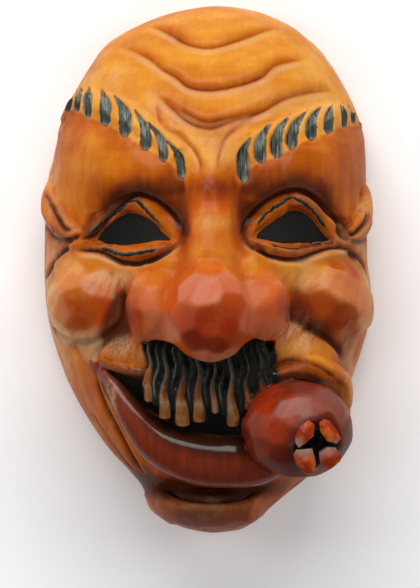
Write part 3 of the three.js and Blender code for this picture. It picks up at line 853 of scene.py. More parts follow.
# Flats that show from the front: where each is centred, how dark it is painted, as glaze and painted shade,
# and how pale, as brushed paint and painted highlight
SET_FLATS = [
    (-0.0019, -0.0105, 0.0, 0.62), (0.0128, -0.0072, 0.0, 0.40), (-0.0116, -0.0110, 0.0, 0.55),  # nose
    (0.0003, -0.0300, 0.20, 0.0), (-0.0143, -0.0262, 0.10, 0.15), (0.0150, -0.0208, 0.25, 0.0),
    (0.0226, -0.0132, 0.0, 0.45), (0.0204, -0.0295, 0.0, 0.35), (-0.0078, -0.0398, 0.75, 0.0),
    (0.0047, -0.0431, 0.80, 0.0), (0.0161, -0.0393, 0.35, 0.10), (-0.0209, -0.0344, 0.0, 0.55),
    (-0.0008, -0.0485, 0.1, 0.60), (0.0106, -0.0474, 0.1, 0.60), (0.0019, -0.0002, 0.0, 0.0),
    (0.0030, 0.0270, 0.0, 0.0),
    (-0.0337, -0.0165, 0.0, 0.30), (-0.0403, -0.0275, 0.45, 0.0), (-0.0283, -0.0061, 0.0, 0.0),  # wings
    (-0.0288, -0.0297, 0.0, 0.40), (-0.0414, -0.0181, 0.20, 0.10),
    (0.0349, -0.0247, 0.0, 0.15), (0.0327, -0.0127, 0.0, 0.05), (0.0289, -0.0330, 0.0, 0.35),
    (0.0415, -0.0203, 0.35, 0.10),
    (-0.0607, -0.0087, 0.0, 0.60), (-0.0775, -0.0042, 0.0, 0.30), (-0.0730, -0.0199, 0.38, 0.0),  # left cheek
    (-0.0624, -0.0233, 0.10, 0.0), (-0.0820, -0.0244, 0.15, 0.30), (-0.0730, -0.0311, 0.35, 0.0),
    (-0.0585, -0.0300, 0.30, 0.0), (-0.0881, -0.0177, 0.0, 0.65), (-0.0831, -0.0350, 0.0, 0.60),
    (-0.0697, -0.0389, 0.0, 0.45),
    (0.0579, -0.0053, 0.0, 0.25), (0.0708, -0.0059, 0.0, 0.30), (0.0798, -0.0115, 0.15, 0.30),  # right cheek
    (0.0882, -0.0177, 0.10, 0.45), (0.0915, -0.0087, 0.0, 0.40), (0.0613, -0.0199, 0.40, 0.0),
    (0.0742, -0.0261, 0.50, 0.0), (0.0803, -0.0350, 0.35, 0.10), (0.0512, -0.0227, 0.55, 0.0),
    (0.0882, -0.0300, 0.0, 0.50),
    (0.0324, -0.0736, 0.10, 0.0), (0.0406, -0.0676, 0.0, 0.0), (0.0531, -0.0660, 0.10, 0.15),  # fruit
    (0.0645, -0.0698, 0.10, 0.35), (0.0732, -0.0785, 0.30, 0.35), (0.0422, -0.0774, 0.0, 0.50),
    (0.0542, -0.0747, 0.0, 0.65), (0.0281, -0.0856, 0.10, 0.30), (0.0373, -0.0883, 0.0, 0.10),
    (0.0297, -0.0976, 0.35, 0.15), (0.0384, -0.1008, 0.60, 0.0), (0.0444, -0.1090, 0.80, 0.0),
    (0.0765, -0.0894, 0.60, 0.10), (0.0732, -0.1019, 0.80, 0.0), (0.0357, -0.1079, 0.70, 0.0),
    (-0.0104, -0.1416, 0.30, 0.0), (0.0076, -0.1410, 0.20, 0.0), (-0.0014, -0.1349, 0.10, 0.10),  # chin
    (-0.0217, -0.1388, 0.30, 0.0), (0.0178, -0.1360, 0.25, 0.0),
]


def chisel_plan(points):
    size = np.full(len(points), PLAIN_FACET)
    flatness = np.full(len(points), PLAIN_FLATNESS)
    limit = np.full(len(points), PLAIN_MOVE)
    for at, reach, facet, flat, most in CHISEL_ZONES:
        inside = np.clip(2.5 * (1 - np.linalg.norm(points - np.array(at), axis=1) / reach), 0, 1)
        size += (facet - size) * inside
        flatness += (flat - flatness) * inside
        limit += (most - limit) * inside
    near, off, _ = measured_from(LOWER_LIP_PATH, points, CLEAR_OF_LIP[1])
    flatness[near] *= smooth_step(*CLEAR_OF_LIP, np.abs(off))
    for line in [CHIN_CREASE] + CHEEK_CREASES:
        near, off, _ = measured_from(flat_path(line), points * FROM_FRONT, CLEAR_OF_GROOVES)
        flatness[near] *= smooth_step(0.3 * CLEAR_OF_GROOVES, CLEAR_OF_GROOVES, np.abs(off))
    return size, flatness, limit


def mean_of(values, away, sharpness):
    weight = np.exp(sharpness * (away.min(1)[:, None] - away))
    return (values * weight).sum(1) / weight.sum(1)


def chisel_spots(mask, points, size, rng):
    """The flats that are set by place, then others scattered a flat's size apart."""
    surface = BVHTree.FromObject(mask, bpy.context.evaluated_depsgraph_get())
    seeds = []
    for x, y, _, _ in SET_FLATS:
        spot = surface.ray_cast((x, y, THROUGH), (0, 0, -1))[0]
        seeds.append(int(((points - np.array(spot)) ** 2).sum(1).argmin()))
    picked = points[seeds]
    for i in rng.permutation(len(points))[:SPOTS_TRIED]:
        if ((picked - points[i]) ** 2).sum(1).min() > size[i] ** 2:
            picked = np.vstack([picked, points[i]])
            seeds.append(i)
    return seeds, picked


def nearest_spots(spots, points):
    tree = kdtree.KDTree(len(spots))
    for i, spot in enumerate(spots):
        tree.insert(spot, i)
    tree.balance()
    return np.array([[index for _, index, _ in tree.find_n(point, FLATS_FELT)] for point in points])


def chiselled(mask, points, out, ends, rng):
    """Every point moved towards the flats of the chisel cuts round it, of which the nearest counts most."""
    size, flatness, limit = chisel_plan(points)
    seeds, picked = chisel_spots(mask, points, size, rng)
    glaze_and_painted_light = rng.uniform(0, 1, (len(seeds), 2)) * PLAIN_GLAZE
    glaze_and_painted_light[:len(SET_FLATS)] = [flat[2:] for flat in SET_FLATS]
    broad_out = relaxed(out, ends, 14)
    broadness = np.linalg.norm(broad_out, axis=1)  # 1 on the flat, less on thin rolls, which stay round
    flatness *= smooth_step(*BROAD_ENOUGH, broadness)
    flats = broad_out[seeds] / broadness[seeds, None] + rng.normal(0, FLATS_TILT, (len(seeds), 3))
    flats /= np.linalg.norm(flats, axis=1)[:, None]
    nearest = nearest_spots(picked, points)
    gap = picked[nearest] - points[:, None, :]
    facing = (out[:, None, :] * flats[nearest]).sum(2)
    rise = (gap * flats[nearest]).sum(2) / np.maximum(0.5, facing)
    away = (gap ** 2).sum(2) / size[:, None] ** 2 + 4 * (facing < 0.5)
    move = mean_of(rise, away, EDGE_SHARPNESS) * flatness
    move *= 1 - smooth_step(*MOVE_EASES, np.abs(move) / limit)
    move = relaxed(move, ends, 4)[:, 0]
    # Each flat is painted darker or paler: painted shade and painted highlight on the set flats, a random
    # darker glaze on the others
    for name, column in (("flat_shade_and_glaze", 0), ("flat_highlight_and_pale", 1)):
        shade = mean_of(glaze_and_painted_light[nearest, column], away, PAINT_SHARPNESS)
        field(mask.data, name, relaxed(shade, ends, 2)[:, 0])
    return points + out * move[:, None]


def sculpt(mask):
    mesh = mask.data
    rng = np.random.default_rng(7)
    ends = edge_ends(mesh)
    points = relaxed(positions(mesh), ends, 2)
    set_positions(mesh, points)
    out = relaxed(normals(mesh), ends, 4)
    out /= np.maximum(1e-9, np.linalg.norm(out, axis=1))[:, None]
    points = chiselled(mask, points, out, ends, rng)
    set_positions(mesh, points)
    tree = BVHTree.FromObject(mask, bpy.context.evaluated_depsgraph_get())
    points = carve_relief(points, out, tree)
    points = relaxed(points, ends, 1, share=0.3)
    set_positions(mesh, points)


def saw_flat(mask):
    """The rim is sawn flat where the mask rests."""
    bm = bmesh.new()
    bm.from_mesh(mask.data)
    everything = bm.verts[:] + bm.edges[:] + bm.faces[:]
    bmesh.ops.bisect_plane(bm, geom=everything, plane_co=(0, 0, 0), plane_no=(0, 0, 1), clear_inner=True)
    loops = [edge for edge in bm.edges if edge.is_boundary]
    bmesh.ops.triangle_fill(bm, edges=loops, use_dissolve=False, normal=(0, 0, -1))
    bm.to_mesh(mask.data)
    bm.free()


def thin_out(mask):
    triangles = sum(len(p.vertices) - 2 for p in mask.data.polygons)
    if triangles > MOST_TRIANGLES:
        step = mask.modifiers.new("thin", "DECIMATE")
        step.ratio = MOST_TRIANGLES / triangles
        apply_modifiers(mask)


# Paint: the black lines round the eyes, with their half widths
EYE_LINES = [
    ([(-0.0722, 0.0123), (-0.0660, 0.0198), (-0.0592, 0.0260), (-0.0496, 0.0328), (-0.0411, 0.0380),
      (-0.0345, 0.0322), (-0.0277, 0.0252), (-0.0202, 0.0183)], 0.0014),
    ([(0.0240, 0.0190), (0.0272, 0.0240), (0.0317, 0.0302), (0.0402, 0.0358), (0.0452, 0.0392),
      (0.0542, 0.0358), (0.0612, 0.0288), (0.0668, 0.0217), (0.0715, 0.0147)], 0.0014),
    ([(-0.0653, 0.0122), (-0.0565, 0.0105), (-0.0483, 0.0078), (-0.0401, 0.0082), (-0.0319, 0.0098),
      (-0.0250, 0.0112)], 0.0017),
    ([(0.0283, 0.0147), (0.0360, 0.0127), (0.0430, 0.0112), (0.0493, 0.0110), (0.0556, 0.0125),
      (0.0640, 0.0145), (0.0696, 0.0127)], 0.0013),
]

# Red on the nose and the cheeks, then the warmer glaze round it: (at, radii, strength)
BLUSHES = [
    ((0.001, -0.034, 0.132), (0.024, 0.018, 0.03), 0.85),  # nose
    ((-0.036, -0.030, 0.112), (0.013, 0.014, 0.03), 0.55),
    ((0.036, -0.029, 0.112), (0.013, 0.014, 0.03), 0.50),
    ((-0.068, -0.019, 0.086), (0.014, 0.011, 0.03), 0.62),  # cheeks
    ((0.078, -0.004, 0.072), (0.010, 0.009, 0.03), 0.70),
]
BLUSH_EDGE = (0.45, 1.25)  # shares of the radii between which a patch fades out
WARM_PATCHES = [
    ((0.001, -0.026, 0.118), (0.027, 0.029, 0.034), 0.95),  # nose
    ((-0.032, -0.024, 0.106), (0.018, 0.021, 0.03), 0.85),
    ((0.032, -0.023, 0.106), (0.017, 0.020, 0.03), 0.85),
    ((0.001, 0.014, 0.106), (0.018, 0.030, 0.03), 0.45),  # bridge
    ((-0.067, -0.020, 0.082), (0.021, 0.016, 0.03), 0.65),  # cheeks
    ((0.074, -0.014, 0.074), (0.020, 0.016, 0.03), 0.50),
    ((0.033, -0.080, 0.122), (0.014, 0.020, 0.03), 1.00),  # fruit
]
WARM_EDGE = (0.70, 1.40)


def field(mesh, name, values):
    mesh.attributes.new(name, "FLOAT", "POINT").data.foreach_set("value", np.asarray(values, np.float32))


# Rounds of softening that show the fine and the broad hollows, and how far the surface has to sink
# or stand proud to count as a full hollow or a full edge
FINE_ROUNDS = 6
BROAD_ROUNDS = 60
FULL_FINE_HOLLOW = 0.00055
FULL_BROAD_HOLLOW = 0.0026
LEAST_EDGE = 0.00004
FULL_EDGE = 0.00020


def note_hollows(mask):
    """Where the surface is hollowed, finely and broadly, and where it stands proud of its surroundings."""
    mesh = mask.data
    points = positions(mesh)
    out = normals(mesh)
    ends = edge_ends(mesh)
    near_soft = relaxed(points, ends, FINE_ROUNDS)
    far_soft = relaxed(near_soft, ends, BROAD_ROUNDS)
    fine = ((near_soft - points) * out).sum(1)
    broad = ((far_soft - points) * out).sum(1)
    field(mesh, "hollow_fine", np.clip(fine / FULL_FINE_HOLLOW, 0, 1))
    field(mesh, "ridge_fine", np.clip((-fine - LEAST_EDGE) / FULL_EDGE, 0, 1))
    field(mesh, "hollow_broad", np.clip(broad / FULL_BROAD_HOLLOW, 0, 1))


# Brown along the creases, glaze gathered there and painted shade, to their left and to their right, and the
# pale edge beside them, pale paint and painted highlight: (lines, glaze, left reach, right reach, pale,
# offset)
GLAZE_AND_SHADE_LINES = [
    (FOREHEAD_FOLDS, 0.20, 0.0050, 0.0008, 0.70, -0.0030),
    (FOREHEAD_FINE, 0.20, 0.0022, 0.0010, 0.4, -0.0022),
    (FOREHEAD_CORES, 0.30, 0.0016, 0.0008, 0.0, 0.0),
    (UPPER_LID_CREASES, 0.46, 0.0085, 0.0014, 0.0, 0.0),
    (LOWER_LID_CREASES, 0.34, 0.0060, 0.0012, 0.8, -0.0026),
    (CROW_FEET, 0.34, 0.0022, 0.0022, 0.35, 0.0032),
    (CHEEK_CREASES, 0.34, 0.0040, 0.0050, 0.0, 0.0),
    ([CHEEK_CREASES[0][:5]], 0.0, 0.0040, 0.0050, 0.5, 0.0050),
    (MUZZLE_CREASES, 0.22, 0.0020, 0.0060, 0.0, 0.0),
    (JAW_CREASES, 0.26, 0.0026, 0.0026, 0.45, 0.0022),
    ([CHIN_CREASE], 0.50, 0.0050, 0.0016, 0.0, 0.0),
]

# Lower edges of the brows: painted light above them, painted shade below
BROW_FEET = [
    [(-0.0930, 0.0930), (-0.0755, 0.0897), (-0.0678, 0.0858), (-0.0578, 0.0808), (-0.0465, 0.0742),
     (-0.0351, 0.0665), (-0.0241, 0.0600), (-0.0140, 0.0500), (-0.0125, 0.0400)],
    [(0.0170, 0.0400), (0.0190, 0.0490), (0.0288, 0.0590), (0.0382, 0.0622), (0.0461, 0.0668),
     (0.0573, 0.0722), (0.0673, 0.0765), (0.0769, 0.0805), (0.0940, 0.0840)],
]

# Broad tones of the glaze, with painted shade in the deep places and painted light on planes that face up,
# where noted: (at, reach, how much darker)
TONE_PATCHES = [
    ((-0.022, 0.040), (0.014, 0.020), 0.06),  # painted shade in the inner corners of the sockets
    ((0.025, 0.044), (0.016, 0.022), 0.10),
    ((-0.043, 0.046), (0.030, 0.007), 0.12),
    ((-0.064, 0.058), (0.024, 0.018), -0.14),  # under the left brow
    ((0.048, 0.048), (0.030, 0.007), 0.12),
    ((0.003, 0.043), (0.015, 0.012), 0.58),  # painted shade between the eyes and beside the bridge, a painted highlight on its top plane
    ((0.003, 0.025), (0.009, 0.0055), -0.20),
    ((-0.014, 0.022), (0.004, 0.016), 0.34),
    ((0.019, 0.022), (0.004, 0.016), 0.30),
    ((0.000, 0.118), (0.060, 0.034), -0.10),  # forehead
    ((0.058, 0.105), (0.022, 0.026), -0.12),
    ((0.000, 0.090), (0.022, 0.016), 0.10),
    ((-0.045, 0.020), (0.026, 0.018), 0.22),  # lids
    ((0.048, 0.021), (0.026, 0.018), 0.22),
    ((-0.058, -0.003), (0.024, 0.006), -0.04),  # painted light on the upper planes of the cheeks
    ((0.056, -0.001), (0.028, 0.006), -0.12),
    ((-0.048, -0.046), (0.012, 0.008), 0.04),  # muzzle
    ((0.046, -0.040), (0.014, 0.009), -0.06),
    ((0.047, -0.024), (0.012, 0.008), 0.65),  # painted shade under the right cheek's ridge
    ((0.059, -0.034), (0.012, 0.006), 0.40),
    ((-0.0495, -0.028), (0.008, 0.014), 1.00),  # painted shade between the left cheek and the nose
    ((-0.0545, -0.031), (0.006, 0.009), 0.40),
    ((0.002, -0.1225), (0.036, 0.0052), 0.80),  # painted shade in the groove under the lip
    ((-0.032, -0.119), (0.012, 0.010), 0.25),
    ((0.052, -0.060), (0.022, 0.006), 0.22),  # right upper lip
    ((0.072, -0.028), (0.016, 0.010), 0.14),
    ((-0.072, -0.034), (0.018, 0.006), 0.16),
    ((-0.088, 0.020), (0.010, 0.016), 0.20),  # temples
    ((0.090, 0.020), (0.010, 0.016), 0.16),
    ((-0.072, -0.085), (0.026, 0.040), 0.18),  # jaw
    ((0.080, -0.045), (0.010, 0.020), 0.20),
    ((-0.050, -0.115), (0.014, 0.020), 0.20),
    ((0.060, -0.115), (0.024, 0.024), 0.24),
    ((0.000, -0.138), (0.045, 0.018), 0.48),  # chin
]

PLAIN_TONE = 0.38
UNDER_BROWS = (0.17, -0.050, -0.030)  # painted shade under the brows: how much darker, and between which distances it begins
OVER_BROWS = (0.10, 0.016, 0.028)  # painted light over the brows: how much paler, and the distances where it ends
BROW_FOOT_EDGE = (-0.0006, 0.0012)
FRUIT_SHADE_EDGE = (1.08, 1.26)
SHADE_ROUND_FRUIT = 0.55

# Pale colour dragged over the high places, and painted highlights on planes facing the light, as on the
# bridge: (at, reach, strength)
SCUMBLES_AND_HIGHLIGHTS = [
    ((-0.052, -0.006), (0.014, 0.005), 0.75),  # cheeks: pale paint and painted light on their upper planes
    ((0.052, -0.007), (0.018, 0.005), 0.45),
    ((-0.091, -0.018), (0.005, 0.018), 0.80),
    ((-0.078, -0.039), (0.014, 0.004), 0.75),
    ((0.094, -0.014), (0.004, 0.018), 0.55),
    ((0.049, -0.038), (0.012, 0.010), 0.90),  # muzzle
    ((-0.046, -0.045), (0.013, 0.007), 0.75),
    ((0.0015, 0.0255), (0.0085, 0.0036), 0.85),  # painted highlight on the top plane of the bridge
    ((-0.086, 0.006), (0.009, 0.012), 0.65),  # folds beside the eyes
    ((-0.089, 0.040), (0.006, 0.016), 0.45),
    ((0.089, 0.010), (0.007, 0.012), 0.60),
    ((0.089, 0.032), (0.006, 0.014), 0.45),
    ((0.000, 0.066), (0.020, 0.010), 0.45),  # forehead
    ((-0.030, 0.084), (0.018, 0.016), 0.40),
    ((-0.060, 0.108), (0.020, 0.008), 0.45),
    ((0.050, 0.094), (0.026, 0.007), 0.40),
    ((-0.082, -0.062), (0.004, 0.030), 0.60),  # jaw
    ((0.079, -0.055), (0.005, 0.028), 0.60),
    ((-0.054, -0.070), (0.003, 0.018), 0.60),
]

# Edges of the painted areas: a pair says where the paint begins to change and where the change ends
LIP_REACH = 0.030
LIP_EDGE = (0.0125, 0.0155)
LIP_SHADE = (-0.0010, 0.0085)  # the lower lip darkens inwards between these distances from its middle line
UPPER_BAND_BELOW = (0.0026, 0.0010)  # the red band hangs between these lines under the left upper lip
UPPER_BAND_FROM = (-0.0080, -0.0060)
UPPER_BAND_FLOOR = 0.074
FRUIT_EDGE = (1.03, 1.09)
SMUDGE_AND_SHADE_EDGE = (0.011, 0.0185)  # black rubbed round the calyx, and painted shade down between its lobes
SMUDGE_AND_SHADE_FROM = 0.010
# painted shade down the sides of each lobe, darker towards its foot
LOBE_SHADE = (0.0015, 0.0045)
HIGHLIT_LOBE_EDGE = (-0.1016, -0.0992)  # upper edges of the two lower lobes, along Y, where a painted highlight lies
HAIRS_ACROSS = 9  # shades of grey across one brow cut
FOREHEAD_ABOVE = (0.045, 0.070)  # brushed across up there, and on the tops of the cheeks
CHEEKS_BEYOND = 0.045
CHEEK_TOPS_Y = -0.004
CHEEK_TOPS_EDGE = (0.008, 0.014)
INSIDE_FACE = (1.045, 1.02)  # the stain ends this far outside the hollow, in shares of it
INSIDE_NOSE = (1.12, 1.05)
LEAST_RIM = 0.0012  # half width of the pale edge beside a crease


def raise_to(values, near, more):
    """The values of these points, raised where the others are higher."""
    values[near] = np.maximum(values[near], more)


def ball_off(points, at, radii):
    """How far out from the middle of a stretched ball each point lies: 1 on the ball."""
    return np.linalg.norm((points - np.array(at)) / np.array(radii), axis=1)


def strongest_ball(points, patches, edge):
    strength_here = np.zeros(len(points))
    for at, radii, strength in patches:
        inside = 1 - smooth_step(*edge, ball_off(points, at, radii))
        strength_here = np.maximum(strength_here, strength * inside)
    return strength_here


def black_lines(tree, points):
    line = np.zeros(len(points))
    for path, width in EYE_LINES:
        near, off, along = measured_from(laid_on(tree, path), points, 3 * width)
        raise_to(line, near, fading_ends(along, 0.2) * (0.82 - np.abs(off) / (2.4 * width)))
    for path, width in BROW_CUTS:
        near, off, along = measured_from(laid_on(tree, path), points, 2 * width)
        raise_to(line, near, 0.5 + 0.5 * np.clip(leaf(off, along, width) * 1.6 - 0.3, -1, 1))
    return line


def grey_on_black(tree, points):
    """Grey along one side of the eye lines, dry-brushed and a painted highlight, and in hairs down the brow
    cuts.
    """
    grey = np.zeros(len(points))
    rng = np.random.default_rng(11)
    for path, width in EYE_LINES:
        near, off, _ = measured_from(laid_on(tree, path), points, 3 * width)
        raise_to(grey, near, 0.6 * smooth_step(-0.3 * width, width, off))
    for path, width in BROW_CUTS:
        near, off, along = measured_from(laid_on(tree, path), points, 2 * width)
        places = np.linspace(-1.2, 1.2, HAIRS_ACROSS)
        hairs = np.interp(off / width, places, rng.uniform(0, 1, HAIRS_ACROSS))
        streaked = 0.30 + 0.85 * np.clip(1 - along / 0.38, 0, 1) + 0.75 * np.clip(hairs - 0.45, 0, 1)
        raise_to(grey, near, streaked + 0.5 * smooth_step(0.86, 0.97, along))
    return np.clip(grey, 0, 1)


def lip_bands(points):
    """The red of the lower lip, and the narrow band of it under the left upper lip."""
    lower = np.zeros(len(points))
    near, off, along = measured_from(LOWER_LIP_PATH, points, LIP_REACH)
    lower[near] = 1 - smooth_step(*LIP_EDGE, np.abs(off) / (0.35 + 0.75 * np.minimum(1, along / 0.45)))
    upper = np.zeros(len(points))
    near, off, along = measured_from(flat_path(UPPER_LIP_LEFT), points * FROM_FRONT, -UPPER_BAND_FROM[0])
    band = smooth_step(*UPPER_BAND_BELOW, off) * smooth_step(*UPPER_BAND_FROM, off)
    upper[near] = band * (points[near, 2] > UPPER_BAND_FLOOR) * smooth_step(1.0, 0.9, along)
    return lower, upper


def lip_shade(points):
    shade = np.zeros(len(points))
    near, off, _ = measured_from(LOWER_LIP_PATH * FROM_FRONT, points * FROM_FRONT, LIP_REACH)
    shade[near] = 0.95 * smooth_step(*LIP_SHADE, off)
    return shade


# Black round the calyx, and painted shade between its lobes and down their sides
def calyx_smudge_and_shade(points, lobes):
    axis = np.array(FRUIT_AXIS) / np.linalg.norm(FRUIT_AXIS)
    from_middle = points - np.array(FRUIT_AT)
    rise = from_middle @ axis
    from_axis = np.linalg.norm(from_middle - rise[:, None] * axis, axis=1)
    smudge_and_shade = (1 - smooth_step(*SMUDGE_AND_SHADE_EDGE, from_axis)) * (rise > SMUDGE_AND_SHADE_FROM)
    x, y, z = points[lobes].T
    smudge_and_shade[lobes] = smooth_step(*LOBE_SHADE, lobe_top(x, y) - z)
    return smudge_and_shade


def moustache_paint(points):
    """Where the strands are painted, how bare their wood is, and the grey painted highlight along each."""
    strands = np.zeros(len(points))
    bare = np.zeros(len(points))
    glint = np.zeros(len(points))
    shares, _, sizes = zip(*STRAND_SHAPE)
    for strand in STRANDS:
        path = smooth_curve([station[:3] for station in strand_stations(*strand)], 6)
        near, off, _ = measured_from(path, points, STRAND_REACH)
        raise_to(strands, near, 1 - smooth_step(*STRAND_EDGE, np.abs(off)))
        near, off, along = measured_from(path * FROM_FRONT, points * FROM_FRONT, STRAND_REACH)
        across = off / (strand[2] * np.interp(along, shares, sizes))
        crest = np.exp(-((across - GLINT_AT) / GLINT_WIDTH) ** 2)
        raise_to(glint, near, crest * smooth_step(0.10, 0.25, along) * smooth_step(0.95, 0.70, along))
        face = np.interp(along, *zip(*BARE_ACROSS))
        rubbed = 1 - smooth_step(0.8 * face, 1.15 * face, np.abs(across))
        raise_to(bare, near, strand[3] * np.interp(along, *zip(*BARE_ALONG)) * rubbed)
    (left, right), (foot, top), (back, front) = BACKING_BOX
    x, y, z = points.T
    backing = (x > left) * (x < right) * (y > foot) * (y < top) * (z > back) * (z < front)
    return np.maximum(strands, backing * (1 - smooth_step(*BACKING_EDGE, np.abs(x)))), bare, glint


def inner_wall(points):
    """The hollow behind the face and the nose, which is stained and not glazed."""
    x, y, z = points.T
    angle = np.arctan2(y - CENTRE[1], x - CENTRE[0])
    power = fullness(angle)
    share = np.hypot(x - CENTRE[0], y - CENTRE[1]) / (rim_radius(angle) - WALL)
    hollow_off = (share ** power + (np.maximum(0, z) / HOLLOW_HEIGHT) ** power) ** (1 / power)
    behind_nose = smooth_step(*INSIDE_NOSE, ball_off(points, *NOSE_HOLLOW))
    return np.maximum(smooth_step(*INSIDE_FACE, hollow_off), behind_nose)


def crease_glaze_and_shade(tree, points):
    """Brown along the creases, glaze and painted shade, and the pale edge beside some of them, pale paint and
    painted highlight.
    """
    glaze_and_painted_light = np.zeros(len(points))
    rim = np.zeros(len(points))
    for lines, strength, left, right, paleness, offset in GLAZE_AND_SHADE_LINES:
        for path in lines:
            reach = 2.2 * max(left, right) + abs(offset)
            near, off, along = measured_from(laid_on(tree, path), points, reach)
            fade = fading_ends(along) * (0.2 + 0.8 * smooth_step(*SIDES_PLAIN_BELOW, points[near, 2]))
            raise_to(glaze_and_painted_light, near, strength * fade * np.exp(-(off / np.where(off > 0, left, right)) ** 2))
            if paleness:
                width = max(LEAST_RIM, 0.6 * abs(offset))
                raise_to(rim, near, paleness * fade * np.exp(-((off - offset) / width) ** 2))
    return glaze_and_painted_light, rim


def broad_tone(tree, points):
    """How dark the glaze is away from the creases, with painted shade under the brows and round the fruit,
    painted light over the brows, and the painted shade and light of the tone patches.
    """
    x, y, z = points.T
    tone = np.full(len(points), PLAIN_TONE)
    for at, reach, darker in TONE_PATCHES:
        tone += darker * patch(x, y, at, reach)
    darker, gone, begun = UNDER_BROWS
    paler, full, out = OVER_BROWS
    low, high = BROW_FOOT_EDGE
    for path in BROW_FEET:
        near, off, along = measured_from(laid_on(tree, path), points, -gone)
        under = smooth_step(-low, -high, off) * smooth_step(gone, begun, off) * fading_ends(along, 0.04)
        above = smooth_step(low, high, off) * smooth_step(out, full, off)
        tone[near] += (darker * under - paler * above) * smooth_step(*SIDES_PLAIN_BELOW, z[near])
    off = ball_off(points, FRUIT_AT, FRUIT_RADII)
    return tone + SHADE_ROUND_FRUIT * (1 - smooth_step(*FRUIT_SHADE_EDGE, off))


def strokes_across(points):
    """The brush went across the forehead and the tops of the cheeks, and down elsewhere."""
    x, y, _ = points.T
    from_tops = np.abs(y - CHEEK_TOPS_Y)
    on_cheeks = (1 - smooth_step(*CHEEK_TOPS_EDGE, from_tops)) * (np.abs(x) > CHEEKS_BEYOND)
    return np.clip(smooth_step(*FOREHEAD_ABOVE, y) + on_cheeks, 0, 1)


# Pale paint dragged over the high places, and painted highlights where a plane faces the light
def pale_and_highlit(mesh, points):
    x, y, z = points.T
    pale = np.zeros(len(points))
    for at, reach, strength in SCUMBLES_AND_HIGHLIGHTS:
        pale = np.maximum(pale, strength * patch(x, y, at, reach, power=3))
    return pale * (normals(mesh)[:, 2] > 0) * (0.4 + 0.6 * smooth_step(*SIDES_PLAIN_BELOW, z))


def paint(mask, lobes_from):
    """Each effect of the paint, noted as a value at every point."""
    mesh = mask.data
    tree = BVHTree.FromObject(mask, bpy.context.evaluated_depsgraph_get())
    points = positions(mesh)
    y = points[:, 1]
    line = black_lines(tree, points)
    lower_lip, upper_lip = lip_bands(points)
    lip = np.maximum(lower_lip, 0.9 * upper_lip)
    lobes = np.arange(len(points)) >= lobes_from
    smudge_and_shade = calyx_smudge_and_shade(points, lobes)
    fruit = 1 - smooth_step(*FRUIT_EDGE, ball_off(points, FRUIT_AT, FRUIT_RADII))
    fruit = np.maximum(fruit, np.maximum(lobes, smudge_and_shade > 0))
    strands, bare, glint = moustache_paint(points)
    glaze_and_painted_light, rim = crease_glaze_and_shade(tree, points)
    effects = {
        "dark_line": line,
        "dry_brush_and_glint": grey_on_black(tree, points),
        "blush": strongest_ball(points, BLUSHES, BLUSH_EDGE),
        "warm": strongest_ball(points, WARM_PATCHES, WARM_EDGE),
        "smudge_and_shade": smudge_and_shade,
        "lip": lip * (1 - fruit),
        "lip_shadow": lip_shade(points) * (1 - upper_lip),
        "fruit": fruit,
        "calyx": lobes,
        "calyx_highlight": lobes * (y < CALYX_AT[1]) * smooth_step(*HIGHLIT_LOBE_EDGE, y),
        "strand": strands * (1 - fruit) * (1 - lip),
        "strand_bare": bare,
        "glint": glint,
        "inside": inner_wall(points),
        "pale_rim_and_highlight": rim * (1 - np.minimum(1, 1.5 * line)),
        "tone": broad_tone(tree, points) + glaze_and_painted_light,
        "strokes_across": strokes_across(points),
        "scumble_and_highlight": pale_and_highlit(mesh, points) * (1 - np.minimum(1, 2 * glaze_and_painted_light)) * (1 - upper_lip),
    }
    for name, values in effects.items():
        field(mesh, name, values)


mask = build_mask()
sculpt(mask)
saw_flat(mask)
note_hollows(mask)
thin_out(mask)
paint(mask, add_calyx(mask))


